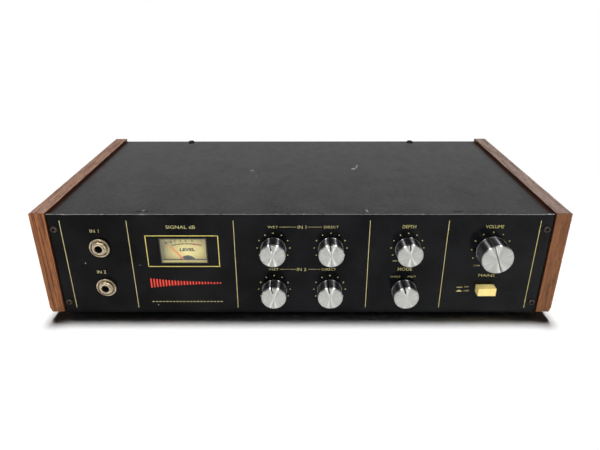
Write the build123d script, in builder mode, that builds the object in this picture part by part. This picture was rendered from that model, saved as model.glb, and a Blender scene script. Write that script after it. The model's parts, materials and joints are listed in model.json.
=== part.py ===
"""Echo unit: a low cabinet of painted steel between two wooden cheeks.

The front panel carries two phone jacks, a level meter, seven turned knobs and a push button. Inside are
the potentiometers, the meter's movement, a circuit board, a mains transformer and a spring tank.
All lengths are in millimetres. +Z is up, +X is to the right as seen from the front, and the front faces
-Y. The origin is on the floor, under the middle of the whole unit.
"""
import os
from math import sqrt

from build123d import *

os.makedirs("parts", exist_ok=True)

# Sheet, cuts and fits that many pieces share
steel_sheet = 1.2
overrun = 2.0  # how far a cut runs past the face it opens
slip_gap = 0.2  # gap round a piece that drops into place
thread_gap = 0.05  # gap between a screw and the hole that holds it
running_gap = 0.05  # radial gap of a shaft that turns in its bush

# Wooden cheeks
cabinet_width = 442.0
cheek_thickness = 12.8
cheek_height = 94.4
cheek_depth = 226.0
cheek_edge_radius = 0.3
cheek_foot_bevel_width = 1.5  # bevel along the outer lower edge
cheek_foot_bevel_height = 4.4

# Sheet parts between the cheeks
foot_height = 9.0
cheek_overhang = 1.0  # the cheeks reach this far below the bottom plate
cover_drop = 2.2  # the cover's top lies this far below the cheeks' tops
side_gap = 0.3  # gap beside the front panel and the cover
panel_thickness = 3.0
panel_setback = 2.0  # the panel's face lies this far behind the cheeks' front edges
panel_drop = 1.9  # the panel's lower edge lies this far below the cheeks' lower edges
panel_top_rise = 0.8  # the panel's top edge stands this far above the cover
panel_edge_bevel = 0.4
rear_setback = 4.0  # the rear panel's face lies this far in front of the cheeks' rear edges
frame_flange = 14.0
flange_end_gap = 4.0  # sideways gap between the side frames' flanges and those of the cover and rear
cover_lip_height = 8.0
rear_flange_depth = 12.0

# Screws
machine_screw_radius = 1.5
machine_head_radius = 2.8
machine_head_height = 1.9
cover_screw_radius = 2.0
cover_head_radius = 3.5
cover_head_height = 2.4
wood_screw_radius = 1.6
wood_head_radius = 3.2
wood_head_height = 2.0
wood_screw_grip = 8.0  # length that bites into the cheek
head_round_share = 0.6
recess_reach_share = 0.6
recess_width_share = 0.3
recess_depth_share = 0.5
socket_share = 0.44
socket_depth_share = 0.7
socket_sides = 6
panel_screw_inset = 4.9  # from the cheek's inner face
panel_screw_top_inset = 12.2
panel_screw_low_inset = 11.4
cover_screw_side_share = 0.31  # of the inner width, from the middle
cover_screw_inset = 6.0
rear_screw_inset = 7.0
rear_screw_edge_inset = 14.0
flange_screw_inset = 9.0
side_screw_shares = (0.14, 0.5, 0.86)  # of the inner depth, from the front

# Feet
foot_top_radius = 10.5
foot_base_radius = 9.5
foot_side_inset = 38.0
foot_end_inset = 34.0
foot_recess_radius = 4.2
foot_recess_depth = 4.5

# Knobs, shafts and the controls that they turn
knob_gap = 2.0  # between the panel and the knob's back
small_knob_radius = 10.5
small_knob_length = 13.0
master_knob_radius = 12.9
master_knob_length = 16.0
knob_lip = 0.2
knob_lip_height = 0.8
knob_bevel = 0.8
knob_front_wall = 2.5
knob_recess_radius = 8.2
knob_recess_depth = 3.0
pointer_width = 1.1
pointer_depth = 0.7
small_pointer_share = 0.55  # of the face's radius, from the rim
master_pointer_share = 1.9
shaft_radius = 3.0
shaft_end_gap = 0.5
shaft_flat_share = 0.7
knob_bore_gap = 0.05
bush_radius = 4.3
bush_proud = 0.5  # the bush stands this far out of its nut
control_washer_radius = 7.0
control_washer_thickness = 0.5
control_nut_flats = 11.0
control_nut_height = 2.0
pot_radius = 8.5
pot_depth = 11.0
pot_bore_depth = 7.0
switch_radius = 12.0
switch_depth = 14.0
lug_width = 2.4
lug_length = 6.0
lug_thickness = 0.8
lug_pitch = 5.0
switch_lug_count = 4
pot_lug_count = 3

# Places on the front panel, as shares of its width from the middle and of its height from below
jack_column_share = -0.404
meter_column_share = -0.2364
left_column_share = -0.0539
right_column_share = 0.0614
echo_column_share = 0.2165
master_column_share = 0.3855
upper_row_share = 0.6779
lower_row_share = 0.2527
master_row_share = 0.6605
upper_jack_share = 0.6846
lower_jack_share = 0.2821
meter_row_share = 0.6461
button_row_share = 0.2624

# Each control's place and the angle of its pointer, clockwise from twelve o'clock in degrees
controls = {
    "mic_echo": (left_column_share, upper_row_share, -13),
    "mic_normal": (right_column_share, upper_row_share, -6),
    "line_echo": (left_column_share, lower_row_share, -11),
    "line_normal": (right_column_share, lower_row_share, -10),
    "echo": (echo_column_share, upper_row_share, -5),
    "phase": (echo_column_share, lower_row_share, -15),
    "master": (master_column_share, master_row_share, -20),
}

# Phone jacks, two in front and two at the rear
jack_bore_radius = 3.25
jack_bush_radius = 4.75
jack_reach = 4.6  # the bush stands this far out of the panel
jack_body_side = 17.0
jack_body_depth = 27.0
jack_body_edge_radius = 2.0
jack_bore_rear_wall = 2.0
jack_washer_radius = 8.5
jack_washer_rim = 1.8
jack_washer_crown = 2.4
jack_washer_seat = 0.9
jack_dish_shares = (0.9, 0.94, 0.87, 0.76)  # foot, outer crown, inner crown and seat of the dish
jack_nut_radius = 6.1
jack_nut_height = 2.8
jack_nut_bevel = 0.7
rear_jack_shares = (-0.29, -0.19)  # of the inner width, from the middle
rear_row_share = 0.5  # of the frame's height

# Level meter
window_width = 38.2
window_height = 22.0
window_thickness = 1.2
window_recess = 0.8  # behind the front edge of the snout
snout_wall = 0.8
snout_recess = 0.2
meter_wall = 1.8
meter_front_wall = 2.0
meter_depth = 21.0
needle_pivot_drop = 15.2  # below the middle of the window
needle_pivot_shift = 1.4
needle_pivot_floor = 5.2  # from the pivot down to the case's inner floor
needle_length = 22.0
needle_hub_radius = 2.2
needle_root_width = 1.5
needle_tip_width = 0.8
needle_thickness = 0.5
needle_front_gap = 0.7
needle_back_gap = 1.0
needle_rest_angle = -40  # degrees clockwise from upright
dial_thickness = 0.8
hub_cover_radius = 7.4
hub_cover_thickness = 0.5
arbor_radius = 0.7
arbor_hole_gap = 0.5
drum_radius = 3.0
drum_length = 6.0
drum_gap = 0.5
arbor_pin_radius = 0.5
arbor_pin_length = 1.5
magnet_width = 26.0
magnet_height = 21.0
magnet_rear_wall = 2.0
lamp_radius = 2.2
lamp_length = 9.0
lamp_setback = 6.0  # from the dial's back to the lamp's middle

# Power switch
button_width = 15.6
button_height = 7.4
button_reach = 7.2
button_tail = 2.0
button_travel = 4.0
button_gap = 0.3
button_edge_radius = 0.5
plunger_width = 7.0
plunger_height = 4.5
plunger_length = 18.0
switch_standoff = 10.0  # from the panel's back to the switch's case
switch_case_width = 18.0
switch_case_height = 12.0
switch_case_depth = 26.0
spring_length = 10.0
spring_radius = 1.9
spring_wire = 0.5
spring_end_gap = 0.1
bracket_overhang = 2.0  # the bracket is this much wider than the switch on each side

# Fuse holder and mains gland on the rear panel
fuse_share = 0.28  # of the inner width, from the middle
gland_share = 0.39
fuse_body_radius = 6.2
fuse_body_length = 22.0
fuse_flange_radius = 8.5
fuse_flange_height = 2.0
fuse_cap_radius = 6.6
fuse_cap_length = 9.0
fuse_cap_bevel = 0.8
fuse_grip_count = 12
fuse_grip_radius = 0.7
gland_body_radius = 6.0
gland_body_length = 7.0
gland_flange_radius = 8.0
gland_flange_height = 3.0
gland_nose_radius = 5.2
gland_nose_length = 9.0
gland_nose_bevel = 1.0
gland_bore_radius = 3.4

# Room inside
bay_gap = 6.0  # between the inner parts, and from them to the side frames
rear_room = 30.0  # between the spring tank and the rear panel

# Mains transformer
transformer_y_share = 0.6  # of the inner depth, from the front
core_width = 60.0
core_depth = 28.0
core_height = 50.0
core_window_width = 10.0
core_window_height = 30.0
winding_bulge = 9.0
winding_gap = 0.2
ear_length = 12.0
ear_thickness = 1.5

# Circuit board
board_width = 230.0
board_depth = 62.0
board_thickness = 1.6
board_hole_inset = 6.0
spacer_radius = 3.2
spacer_height = 8.0
capacitor_sizes = ((6.3, 20.0), (6.3, 20.0), (5.0, 16.0), (5.0, 16.0), (4.0, 11.0), (4.0, 11.0), (2.5, 8.0))
capacitor_x_shares = (-0.38, -0.3, 0.34, 0.26, -0.1, 0.05, 0.15)
capacitor_y_shares = (0.2, -0.2, 0.18, -0.2, 0.15, -0.15, 0.2)

# Spring tank, which fills the room beside the transformer
tank_depth = 62.0
tank_height = 30.0
tank_sheet = 1.0
tank_ear_length = 10.0
tank_ear_inset = 12.0
transducer_width = 16.0
transducer_depth = 40.0
transducer_height = 18.0
tank_spring_radius = 2.4
tank_spring_wire = 0.6
tank_spring_pitch = 12.0
tank_spring_count = 3

# Main planes, worked out from the sizes above
inner_half = cabinet_width / 2 - cheek_thickness
inner_width = 2 * inner_half
floor_top_z = foot_height + steel_sheet
cheek_bottom_z = foot_height - cheek_overhang
cover_top_z = cheek_bottom_z + cheek_height - cover_drop
cover_under_z = cover_top_z - steel_sheet
frame_height = cover_under_z - floor_top_z
frame_mid_z = (cover_under_z + floor_top_z) / 2
front_reach = knob_gap + max(small_knob_length, master_knob_length) - panel_setback
rear_reach = max(fuse_flange_height + fuse_cap_length, gland_flange_height + gland_nose_length) - rear_setback
cheek_front_y = (front_reach - cheek_depth - rear_reach) / 2
cheek_back_y = cheek_front_y + cheek_depth
panel_face_y = cheek_front_y + panel_setback
panel_back_y = panel_face_y + panel_thickness
rear_face_y = cheek_back_y - rear_setback
rear_inner_y = rear_face_y - steel_sheet
inner_depth = rear_inner_y - panel_back_y
inner_mid_y = (rear_inner_y + panel_back_y) / 2
panel_width = 2 * (inner_half - side_gap)
panel_bottom_z = cheek_bottom_z - panel_drop
panel_height = cover_top_z + panel_top_rise - panel_bottom_z
flange_width = 2 * (inner_half - frame_flange - flange_end_gap)


def facing_front(x, y, z):
    """A plane whose own X and Y run along X and Z, and whose normal points to the front."""
    return Plane(origin=(x, y, z), x_dir=(1, 0, 0), z_dir=(0, -1, 0))


def facing_rear(x, y, z):
    """A plane whose normal points to the rear and whose own Y runs up."""
    return Plane(origin=(x, y, z), x_dir=(-1, 0, 0), z_dir=(0, 1, 0))


def facing_down(x, y, z):
    """A plane whose normal points to the floor."""
    return Plane(origin=(x, y, z), x_dir=(1, 0, 0), z_dir=(0, 0, -1))


def facing_side(x, y, z, side):
    """A plane whose normal points to the right for a side of 1, or to the left for -1."""
    return Plane(origin=(x, y, z), x_dir=(0, side, 0), z_dir=(side, 0, 0))


def turned(plane, angle):
    """A plane turned clockwise about its own normal, as seen from the side that the normal points to."""
    return Plane(plane.location * Rotation(0, 0, -angle))


def panel_place(column_share, row_share):
    """X and Z of a place on the front panel."""
    return (column_share * panel_width, panel_bottom_z + row_share * panel_height)


def screw(head_radius, head_height, shank_radius, shank_length, socket=False):
    """A round-headed screw with a cross recess or a hexagon socket, its head along +Z from the origin."""
    with BuildPart() as fastener:
        with BuildSketch():
            Circle(head_radius)
        extrude(amount=head_height)
        fillet(fastener.edges().sort_by(Axis.Z)[-1], radius=head_height * head_round_share)
        with BuildSketch(Plane.XY.offset(head_height)):
            if socket:
                RegularPolygon(head_radius * socket_share, socket_sides)
            else:
                Rectangle(2 * head_radius * recess_reach_share, head_radius * recess_width_share)
                Rectangle(head_radius * recess_width_share, 2 * head_radius * recess_reach_share)
        depth_share = socket_depth_share if socket else recess_depth_share
        extrude(amount=-head_height * depth_share, mode=Mode.SUBTRACT)
        with BuildSketch():
            Circle(shank_radius)
        extrude(amount=-shank_length)
    return fastener.part


def write(piece, name):
    """Labels a finished piece and writes it to its own file."""
    piece.label = name
    export_step(piece, f"parts/{name}.step")


# Places that several pieces share
jack_points = [panel_place(jack_column_share, share) for share in (upper_jack_share, lower_jack_share)]
control_points = {name: panel_place(column, row) for name, (column, row, angle) in controls.items()}
meter_x, meter_z = panel_place(meter_column_share, meter_row_share)
button_x, button_z = panel_place(master_column_share, button_row_share)
panel_screw_points = [
    (side * (inner_half - panel_screw_inset), z)
    for side in (-1, 1)
    for z in (panel_bottom_z + panel_screw_low_inset, cover_top_z - panel_screw_top_inset)
]
rear_screw_points = [
    (side * (inner_half - rear_screw_inset), z)
    for side in (-1, 1)
    for z in (floor_top_z + rear_screw_edge_inset, cover_under_z - rear_screw_edge_inset)
]
rear_row_z = floor_top_z + rear_row_share * frame_height
rear_jack_points = [(share * inner_width, rear_row_z) for share in rear_jack_shares]
fuse_x = fuse_share * inner_width
gland_x = gland_share * inner_width
side_screw_ys = [panel_back_y + share * inner_depth for share in side_screw_shares]
flange_screw_points = [
    (side * (inner_half - flange_screw_inset), y) for side in (-1, 1) for y in side_screw_ys
]
cover_screw_points = [
    (side * cover_screw_side_share * inner_width, rear_face_y - cover_screw_inset) for side in (-1, 1)
]
foot_points = [
    (side * (inner_half - foot_side_inset), y)
    for side in (-1, 1)
    for y in (cheek_front_y + foot_end_inset, cheek_back_y - foot_end_inset)
]
transformer_x = inner_half - frame_flange - bay_gap - ear_length - core_width / 2
transformer_y = panel_back_y + transformer_y_share * inner_depth
transformer_screw_points = [
    (transformer_x + side * (core_width + ear_length) / 2, transformer_y) for side in (-1, 1)
]
bay_left_x = -inner_half + frame_flange + bay_gap
bay_right_x = transformer_x - core_width / 2 - ear_length - bay_gap
tank_x = (bay_left_x + bay_right_x) / 2
tank_y = rear_inner_y - rear_room - tank_depth / 2
tank_width = bay_right_x - bay_left_x - 2 * tank_ear_length
board_x = bay_left_x + board_width / 2
board_y = tank_y - (tank_depth + board_depth) / 2 - bay_gap
board_bottom_z = floor_top_z + spacer_height
board_top_z = board_bottom_z + board_thickness
board_screw_points = [
    (
        board_x + x_side * (board_width / 2 - board_hole_inset),
        board_y + y_side * (board_depth / 2 - board_hole_inset),
    )
    for x_side in (-1, 1)
    for y_side in (-1, 1)
]
tank_screw_points = [
    (
        tank_x + x_side * (tank_width + tank_ear_length) / 2,
        tank_y + y_side * (tank_depth / 2 - tank_ear_inset),
    )
    for x_side in (-1, 1)
    for y_side in (-1, 1)
]

# Wooden cheeks: boards with eased edges, screwed on from inside
with BuildPart() as left_cheek:
    with BuildSketch(facing_side(-inner_half, (cheek_front_y + cheek_back_y) / 2, cheek_bottom_z, -1)):
        Rectangle(cheek_depth, cheek_height, align=(Align.CENTER, Align.MIN))
    extrude(amount=cheek_thickness)
    underside = left_cheek.faces().sort_by(Axis.Z)[0]
    outer_edge = underside.edges().filter_by(Axis.Y).sort_by(Axis.X)[0]
    chamfer(outer_edge, length=cheek_foot_bevel_width, length2=cheek_foot_bevel_height, reference=underside)
    fillet(left_cheek.edges(), radius=cheek_edge_radius)
    with BuildSketch(facing_side(-inner_half, 0, frame_mid_z, -1)):
        with Locations(*[(-y, 0) for y in side_screw_ys]):
            Circle(wood_screw_radius + thread_gap)
    extrude(amount=wood_screw_grip + thread_gap, mode=Mode.SUBTRACT)
write(left_cheek.part, "left_cheek")

with BuildPart() as right_cheek:
    mirror(left_cheek.part, about=Plane.YZ)
write(right_cheek.part, "right_cheek")

# Side frames: folded steel channels that join the panels, the bottom plate and the cheeks
with BuildPart() as left_side_frame:
    with BuildSketch(facing_side(-inner_half, inner_mid_y, frame_mid_z, 1)):
        Rectangle(inner_depth, frame_height)
    extrude(amount=frame_flange)
    offset(amount=-steel_sheet, openings=left_side_frame.faces().sort_by(Axis.X)[-1])
    with BuildSketch(facing_front(0, panel_back_y + steel_sheet, 0)):
        with Locations(*panel_screw_points):
            Circle(machine_screw_radius + thread_gap)
    extrude(amount=steel_sheet + overrun, mode=Mode.SUBTRACT)
    with BuildSketch(facing_rear(0, rear_inner_y - steel_sheet, 0)):
        with Locations(*[(-x, z) for x, z in rear_screw_points]):
            Circle(machine_screw_radius + thread_gap)
    extrude(amount=steel_sheet + overrun, mode=Mode.SUBTRACT)
    with BuildSketch(Plane.XY.offset(floor_top_z - overrun)):
        with Locations(*flange_screw_points):
            Circle(machine_screw_radius + thread_gap)
    extrude(amount=steel_sheet + overrun, mode=Mode.SUBTRACT)
    with BuildSketch(facing_side(-inner_half + steel_sheet, 0, frame_mid_z, -1)):
        with Locations(*[(-y, 0) for y in side_screw_ys]):
            Circle(wood_screw_radius + slip_gap)
    extrude(amount=steel_sheet + overrun, mode=Mode.SUBTRACT)
write(left_side_frame.part, "left_side_frame")

with BuildPart() as right_side_frame:
    mirror(left_side_frame.part, about=Plane.YZ)
write(right_side_frame.part, "right_side_frame")

# Bottom plate: flat steel sheet with the holes of every screw that ends in it
with BuildPart() as bottom_plate:
    with BuildSketch(Plane.XY.offset(foot_height)):
        with Locations((0, inner_mid_y)):
            Rectangle(2 * (inner_half - slip_gap), inner_depth)
        with Locations(*flange_screw_points):
            Circle(machine_screw_radius + slip_gap, mode=Mode.SUBTRACT)
        with Locations(*foot_points, *transformer_screw_points, *tank_screw_points):
            Circle(machine_screw_radius + thread_gap, mode=Mode.SUBTRACT)
    extrude(amount=steel_sheet)
write(bottom_plate.part, "bottom_plate")

# Front panel: thick plate with every hole that the controls need
with BuildPart() as front_panel:
    with BuildSketch(facing_front(0, panel_back_y, panel_bottom_z)):
        Rectangle(panel_width, panel_height, align=(Align.CENTER, Align.MIN))
    extrude(amount=panel_thickness)
    chamfer(front_panel.faces().sort_by(Axis.Y)[0].edges(), length=panel_edge_bevel)
    with BuildSketch(facing_front(0, panel_back_y + overrun, 0)):
        with Locations(*jack_points):
            Circle(jack_bush_radius + slip_gap)
        with Locations(*control_points.values()):
            Circle(bush_radius + slip_gap)
        with Locations(*panel_screw_points):
            Circle(machine_screw_radius + slip_gap)
        with Locations((meter_x, meter_z)):
            Rectangle(
                window_width + 2 * (snout_wall + slip_gap), window_height + 2 * (snout_wall + slip_gap)
            )
        with Locations((button_x, button_z)):
            Rectangle(button_width + 2 * button_gap, button_height + 2 * button_gap)
    extrude(amount=panel_thickness + 2 * overrun, mode=Mode.SUBTRACT)
write(front_panel.part, "front_panel")

# Rear panel: steel sheet with a flange along its top for the cover's screws
with BuildPart() as rear_panel:
    with BuildSketch(facing_rear(0, rear_inner_y, foot_height)):
        Rectangle(2 * (inner_half - side_gap), cover_under_z - foot_height, align=(Align.CENTER, Align.MIN))
    extrude(amount=steel_sheet)
    with BuildSketch(Plane.XY.offset(cover_under_z - steel_sheet)):
        with Locations((0, rear_face_y)):
            Rectangle(flange_width, rear_flange_depth, align=(Align.CENTER, Align.MAX))
        with Locations(*cover_screw_points):
            Circle(cover_screw_radius + thread_gap, mode=Mode.SUBTRACT)
    extrude(amount=steel_sheet)
    with BuildSketch(facing_rear(0, rear_inner_y - overrun, 0)):
        with Locations(*[(-x, z) for x, z in rear_screw_points]):
            Circle(machine_screw_radius + slip_gap)
        with Locations(*[(-x, z) for x, z in rear_jack_points]):
            Circle(jack_bush_radius + slip_gap)
        with Locations((-fuse_x, rear_row_z)):
            Circle(fuse_body_radius + slip_gap)
        with Locations((-gland_x, rear_row_z)):
            Circle(gland_body_radius + slip_gap)
    extrude(amount=steel_sheet + 2 * overrun, mode=Mode.SUBTRACT)
write(rear_panel.part, "rear_panel")

# Top cover: steel sheet with a lip folded down behind the front panel
with BuildPart() as top_cover:
    with BuildSketch(Plane.XY.offset(cover_under_z)):
        with Locations((0, panel_back_y + slip_gap)):
            Rectangle(panel_width, rear_face_y - panel_back_y - slip_gap, align=(Align.CENTER, Align.MIN))
        with Locations(*cover_screw_points):
            Circle(cover_screw_radius + slip_gap, mode=Mode.SUBTRACT)
    extrude(amount=steel_sheet)
    with BuildSketch(facing_rear(0, panel_back_y + slip_gap, cover_top_z)):
        Rectangle(flange_width, cover_lip_height, align=(Align.CENTER, Align.MAX))
    extrude(amount=steel_sheet)
write(top_cover.part, "top_cover")

# Feet: tapered rubber pads, each with a sunk screw
with BuildPart() as feet:
    for x, y in foot_points:
        with BuildSketch(Plane.XY):
            with Locations((x, y)):
                Circle(foot_base_radius)
        with BuildSketch(Plane.XY.offset(foot_height)):
            with Locations((x, y)):
                Circle(foot_top_radius)
        loft()
    with BuildSketch(Plane.XY):
        with Locations(*foot_points):
            Circle(foot_recess_radius)
    extrude(amount=foot_recess_depth, mode=Mode.SUBTRACT)
    with BuildSketch(Plane.XY):
        with Locations(*foot_points):
            Circle(machine_screw_radius + slip_gap)
    extrude(amount=foot_height, mode=Mode.SUBTRACT)
write(feet.part, "feet")

# Screws, one group for each place that they hold
foot_screw = screw(
    machine_head_radius, machine_head_height, machine_screw_radius, floor_top_z - foot_recess_depth
)
with BuildPart() as foot_screws:
    with Locations(*[facing_down(x, y, foot_recess_depth) for x, y in foot_points]):
        add(foot_screw)
write(foot_screws.part, "foot_screws")

cheek_screw = screw(wood_head_radius, wood_head_height, wood_screw_radius, steel_sheet + wood_screw_grip)
with BuildPart() as cheek_screws:
    for side in (-1, 1):
        web_x = side * (inner_half - steel_sheet)
        with Locations(*[facing_side(web_x, y, frame_mid_z, -side) for y in side_screw_ys]):
            add(cheek_screw)
write(cheek_screws.part, "cheek_screws")

panel_screw = screw(
    machine_head_radius, machine_head_height, machine_screw_radius, panel_thickness + steel_sheet, socket=True
)
with BuildPart() as front_panel_screws:
    with Locations(*[facing_front(x, panel_face_y, z) for x, z in panel_screw_points]):
        add(panel_screw)
write(front_panel_screws.part, "front_panel_screws")

sheet_screw = screw(machine_head_radius, machine_head_height, machine_screw_radius, 2 * steel_sheet)
with BuildPart() as rear_panel_screws:
    with Locations(*[facing_rear(x, rear_face_y, z) for x, z in rear_screw_points]):
        add(sheet_screw)
write(rear_panel_screws.part, "rear_panel_screws")

cover_screw = screw(cover_head_radius, cover_head_height, cover_screw_radius, 2 * steel_sheet, socket=True)
with BuildPart() as top_cover_screws:
    with Locations(*[(x, y, cover_top_z) for x, y in cover_screw_points]):
        add(cover_screw)
write(top_cover_screws.part, "top_cover_screws")

ear_screw = screw(machine_head_radius, machine_head_height, machine_screw_radius, ear_thickness + steel_sheet)
tank_screw = screw(machine_head_radius, machine_head_height, machine_screw_radius, tank_sheet + steel_sheet)
board_screw = screw(
    machine_head_radius, machine_head_height, machine_screw_radius, board_thickness + spacer_height / 2
)
with BuildPart() as chassis_screws:
    with Locations(*[facing_down(x, y, foot_height) for x, y in flange_screw_points]):
        add(sheet_screw)
    with Locations(*[(x, y, floor_top_z + ear_thickness) for x, y in transformer_screw_points]):
        add(ear_screw)
    with Locations(*[(x, y, floor_top_z + tank_sheet) for x, y in tank_screw_points]):
        add(tank_screw)
    with Locations(*[(x, y, board_top_z) for x, y in board_screw_points]):
        add(board_screw)
write(chassis_screws.part, "chassis_screws")


def knob(radius, length, pointer_share):
    """A turned knob with its back at the origin, its face along +Z and its pointer towards +Y."""
    with BuildPart() as lathe:
        with BuildSketch():
            Circle(radius)
        extrude(amount=length)
        chamfer(lathe.edges().sort_by(Axis.Z)[-1], length=knob_bevel)
        with BuildSketch():
            Circle(radius + knob_lip)
        extrude(amount=knob_lip_height)
        with BuildSketch():
            Circle(knob_recess_radius)
        extrude(amount=knob_recess_depth, mode=Mode.SUBTRACT)
        with BuildSketch():
            Circle(shaft_radius + knob_bore_gap)
            with Locations((0, shaft_radius * shaft_flat_share + knob_bore_gap)):
                Rectangle(2 * radius, radius, align=(Align.CENTER, Align.MIN), mode=Mode.SUBTRACT)
        extrude(amount=length - knob_front_wall, mode=Mode.SUBTRACT)
        with BuildSketch(Plane.XY.offset(length)):
            with Locations((0, radius * (1 - pointer_share))):
                Rectangle(pointer_width, radius * pointer_share + overrun, align=(Align.CENTER, Align.MIN))
        extrude(amount=-pointer_depth, mode=Mode.SUBTRACT)
        with BuildSketch():
            with Locations((0, radius - pointer_depth)):
                Rectangle(pointer_width, pointer_depth + overrun, align=(Align.CENTER, Align.MIN))
        extrude(amount=length, mode=Mode.SUBTRACT)
    return lathe.part


def shaft(knob_length):
    """A control's shaft along +Z, with the panel's face at the origin and a flat inside the knob."""
    back = panel_thickness + pot_bore_depth - shaft_end_gap
    front = knob_gap + knob_length - knob_front_wall - shaft_end_gap
    with BuildPart() as lathe:
        with BuildSketch(Plane.XY.offset(-back)):
            Circle(shaft_radius)
        extrude(amount=back + front)
        with BuildSketch(Plane.XY.offset(knob_gap + knob_recess_depth)):
            with Locations((0, shaft_radius * shaft_flat_share)):
                Rectangle(2 * shaft_radius, shaft_radius, align=(Align.CENTER, Align.MIN))
        extrude(amount=front, mode=Mode.SUBTRACT)
    return lathe.part


def control_case(can_radius, can_depth, lug_count):
    """A potentiometer or rotary switch behind the panel, whose face is at the origin."""
    bush_reach = control_washer_thickness + control_nut_height + bush_proud
    with BuildPart() as case:
        with BuildSketch(Plane.XY.offset(-panel_thickness)):
            Circle(can_radius)
            with GridLocations(lug_pitch, 0, lug_count, 1):
                with Locations((0, -can_radius)):
                    Rectangle(lug_width, 2 * lug_length)
        extrude(amount=-lug_thickness)
        with BuildSketch(Plane.XY.offset(-panel_thickness)):
            Circle(can_radius)
        extrude(amount=-can_depth)
        with BuildSketch(Plane.XY.offset(-panel_thickness)):
            Circle(bush_radius)
        extrude(amount=panel_thickness + bush_reach)
        with BuildSketch(Plane.XY.offset(-panel_thickness - pot_bore_depth)):
            Circle(shaft_radius + running_gap)
        extrude(amount=panel_thickness + pot_bore_depth + bush_reach, mode=Mode.SUBTRACT)
    return case.part


# Knobs and their shafts: each pair turns as one
small_knob = knob(small_knob_radius, small_knob_length, small_pointer_share)
master_knob = knob(master_knob_radius, master_knob_length, master_pointer_share)
small_shaft = shaft(small_knob_length)
master_shaft = shaft(master_knob_length)
for name, (column, row, angle) in controls.items():
    x, z = control_points[name]
    with BuildPart() as turned_knob:
        with Locations(turned(facing_front(x, panel_face_y - knob_gap, z), angle)):
            add(master_knob if name == "master" else small_knob)
    write(turned_knob.part, f"{name}_knob")
    with BuildPart() as turned_shaft:
        with Locations(turned(facing_front(x, panel_face_y, z), angle)):
            add(master_shaft if name == "master" else small_shaft)
    write(turned_shaft.part, f"{name}_shaft")

# Potentiometers and the phase switch, held to the panel by a washer and a nut each
control_planes = {name: facing_front(x, panel_face_y, z) for name, (x, z) in control_points.items()}
with BuildPart() as pot_cases:
    with Locations(*[plane for name, plane in control_planes.items() if name != "phase"]):
        add(control_case(pot_radius, pot_depth, pot_lug_count))
write(pot_cases.part, "pot_cases")

with BuildPart() as phase_switch_case:
    with Locations(control_planes["phase"]):
        add(control_case(switch_radius, switch_depth, switch_lug_count))
write(phase_switch_case.part, "phase_switch_case")

with BuildPart() as pot_washers:
    for plane in control_planes.values():
        with BuildSketch(plane):
            Circle(control_washer_radius)
            Circle(bush_radius + slip_gap, mode=Mode.SUBTRACT)
        extrude(amount=control_washer_thickness)
write(pot_washers.part, "pot_washers")

with BuildPart() as pot_nuts:
    for plane in control_planes.values():
        with BuildSketch(plane.offset(control_washer_thickness)):
            RegularPolygon(control_nut_flats / sqrt(3), 6)
            Circle(bush_radius + thread_gap, mode=Mode.SUBTRACT)
        extrude(amount=control_nut_height)
write(pot_nuts.part, "pot_nuts")


def jack(plate):
    """A phone jack behind a plate of the given thickness, whose face is at the origin."""
    with BuildPart() as socket:
        with BuildSketch(Plane.XY.offset(-plate)):
            RectangleRounded(jack_body_side, jack_body_side, jack_body_edge_radius)
        extrude(amount=-jack_body_depth)
        with BuildSketch(Plane.XY.offset(-plate)):
            Circle(jack_bush_radius)
        extrude(amount=plate + jack_reach)
        with BuildSketch(Plane.XY.offset(jack_bore_rear_wall - plate - jack_body_depth)):
            Circle(jack_bore_radius)
        extrude(amount=plate + jack_body_depth + jack_reach, mode=Mode.SUBTRACT)
    return socket.part


# Phone jacks: the bush goes through the panel into a dished washer and a round nut
jack_planes = [facing_front(x, panel_face_y, z) for x, z in jack_points]
rear_jack_planes = [facing_rear(x, rear_face_y, z) for x, z in rear_jack_points]
with BuildPart() as jack_sockets:
    with Locations(*jack_planes):
        add(jack(panel_thickness))
    with Locations(*rear_jack_planes):
        add(jack(steel_sheet))
write(jack_sockets.part, "jack_sockets")

with BuildPart() as dished_washer:
    with BuildSketch(Plane.XZ):
        with BuildLine():
            Polyline(
                (jack_bush_radius + slip_gap, 0),
                (jack_washer_radius * jack_dish_shares[0], 0),
                (jack_washer_radius, jack_washer_rim),
                (jack_washer_radius * jack_dish_shares[1], jack_washer_crown),
                (jack_washer_radius * jack_dish_shares[2], jack_washer_crown),
                (jack_washer_radius * jack_dish_shares[3], jack_washer_seat),
                (jack_bush_radius + slip_gap, jack_washer_seat),
                close=True,
            )
        make_face()
    revolve(axis=Axis.Z)
with BuildPart() as jack_washers:
    with Locations(*jack_planes, *rear_jack_planes):
        add(dished_washer.part)
write(jack_washers.part, "jack_washers")

with BuildPart() as round_nut:
    with BuildSketch(Plane.XY.offset(jack_washer_seat)):
        Circle(jack_nut_radius)
    extrude(amount=jack_nut_height)
    chamfer(round_nut.edges().sort_by(Axis.Z)[-1], length=jack_nut_bevel)
    with BuildSketch(Plane.XY.offset(jack_washer_seat)):
        Circle(jack_bush_radius + thread_gap)
    extrude(amount=jack_nut_height, mode=Mode.SUBTRACT)
with BuildPart() as jack_nuts:
    with Locations(*jack_planes, *rear_jack_planes):
        add(round_nut.part)
write(jack_nuts.part, "jack_nuts")

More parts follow.
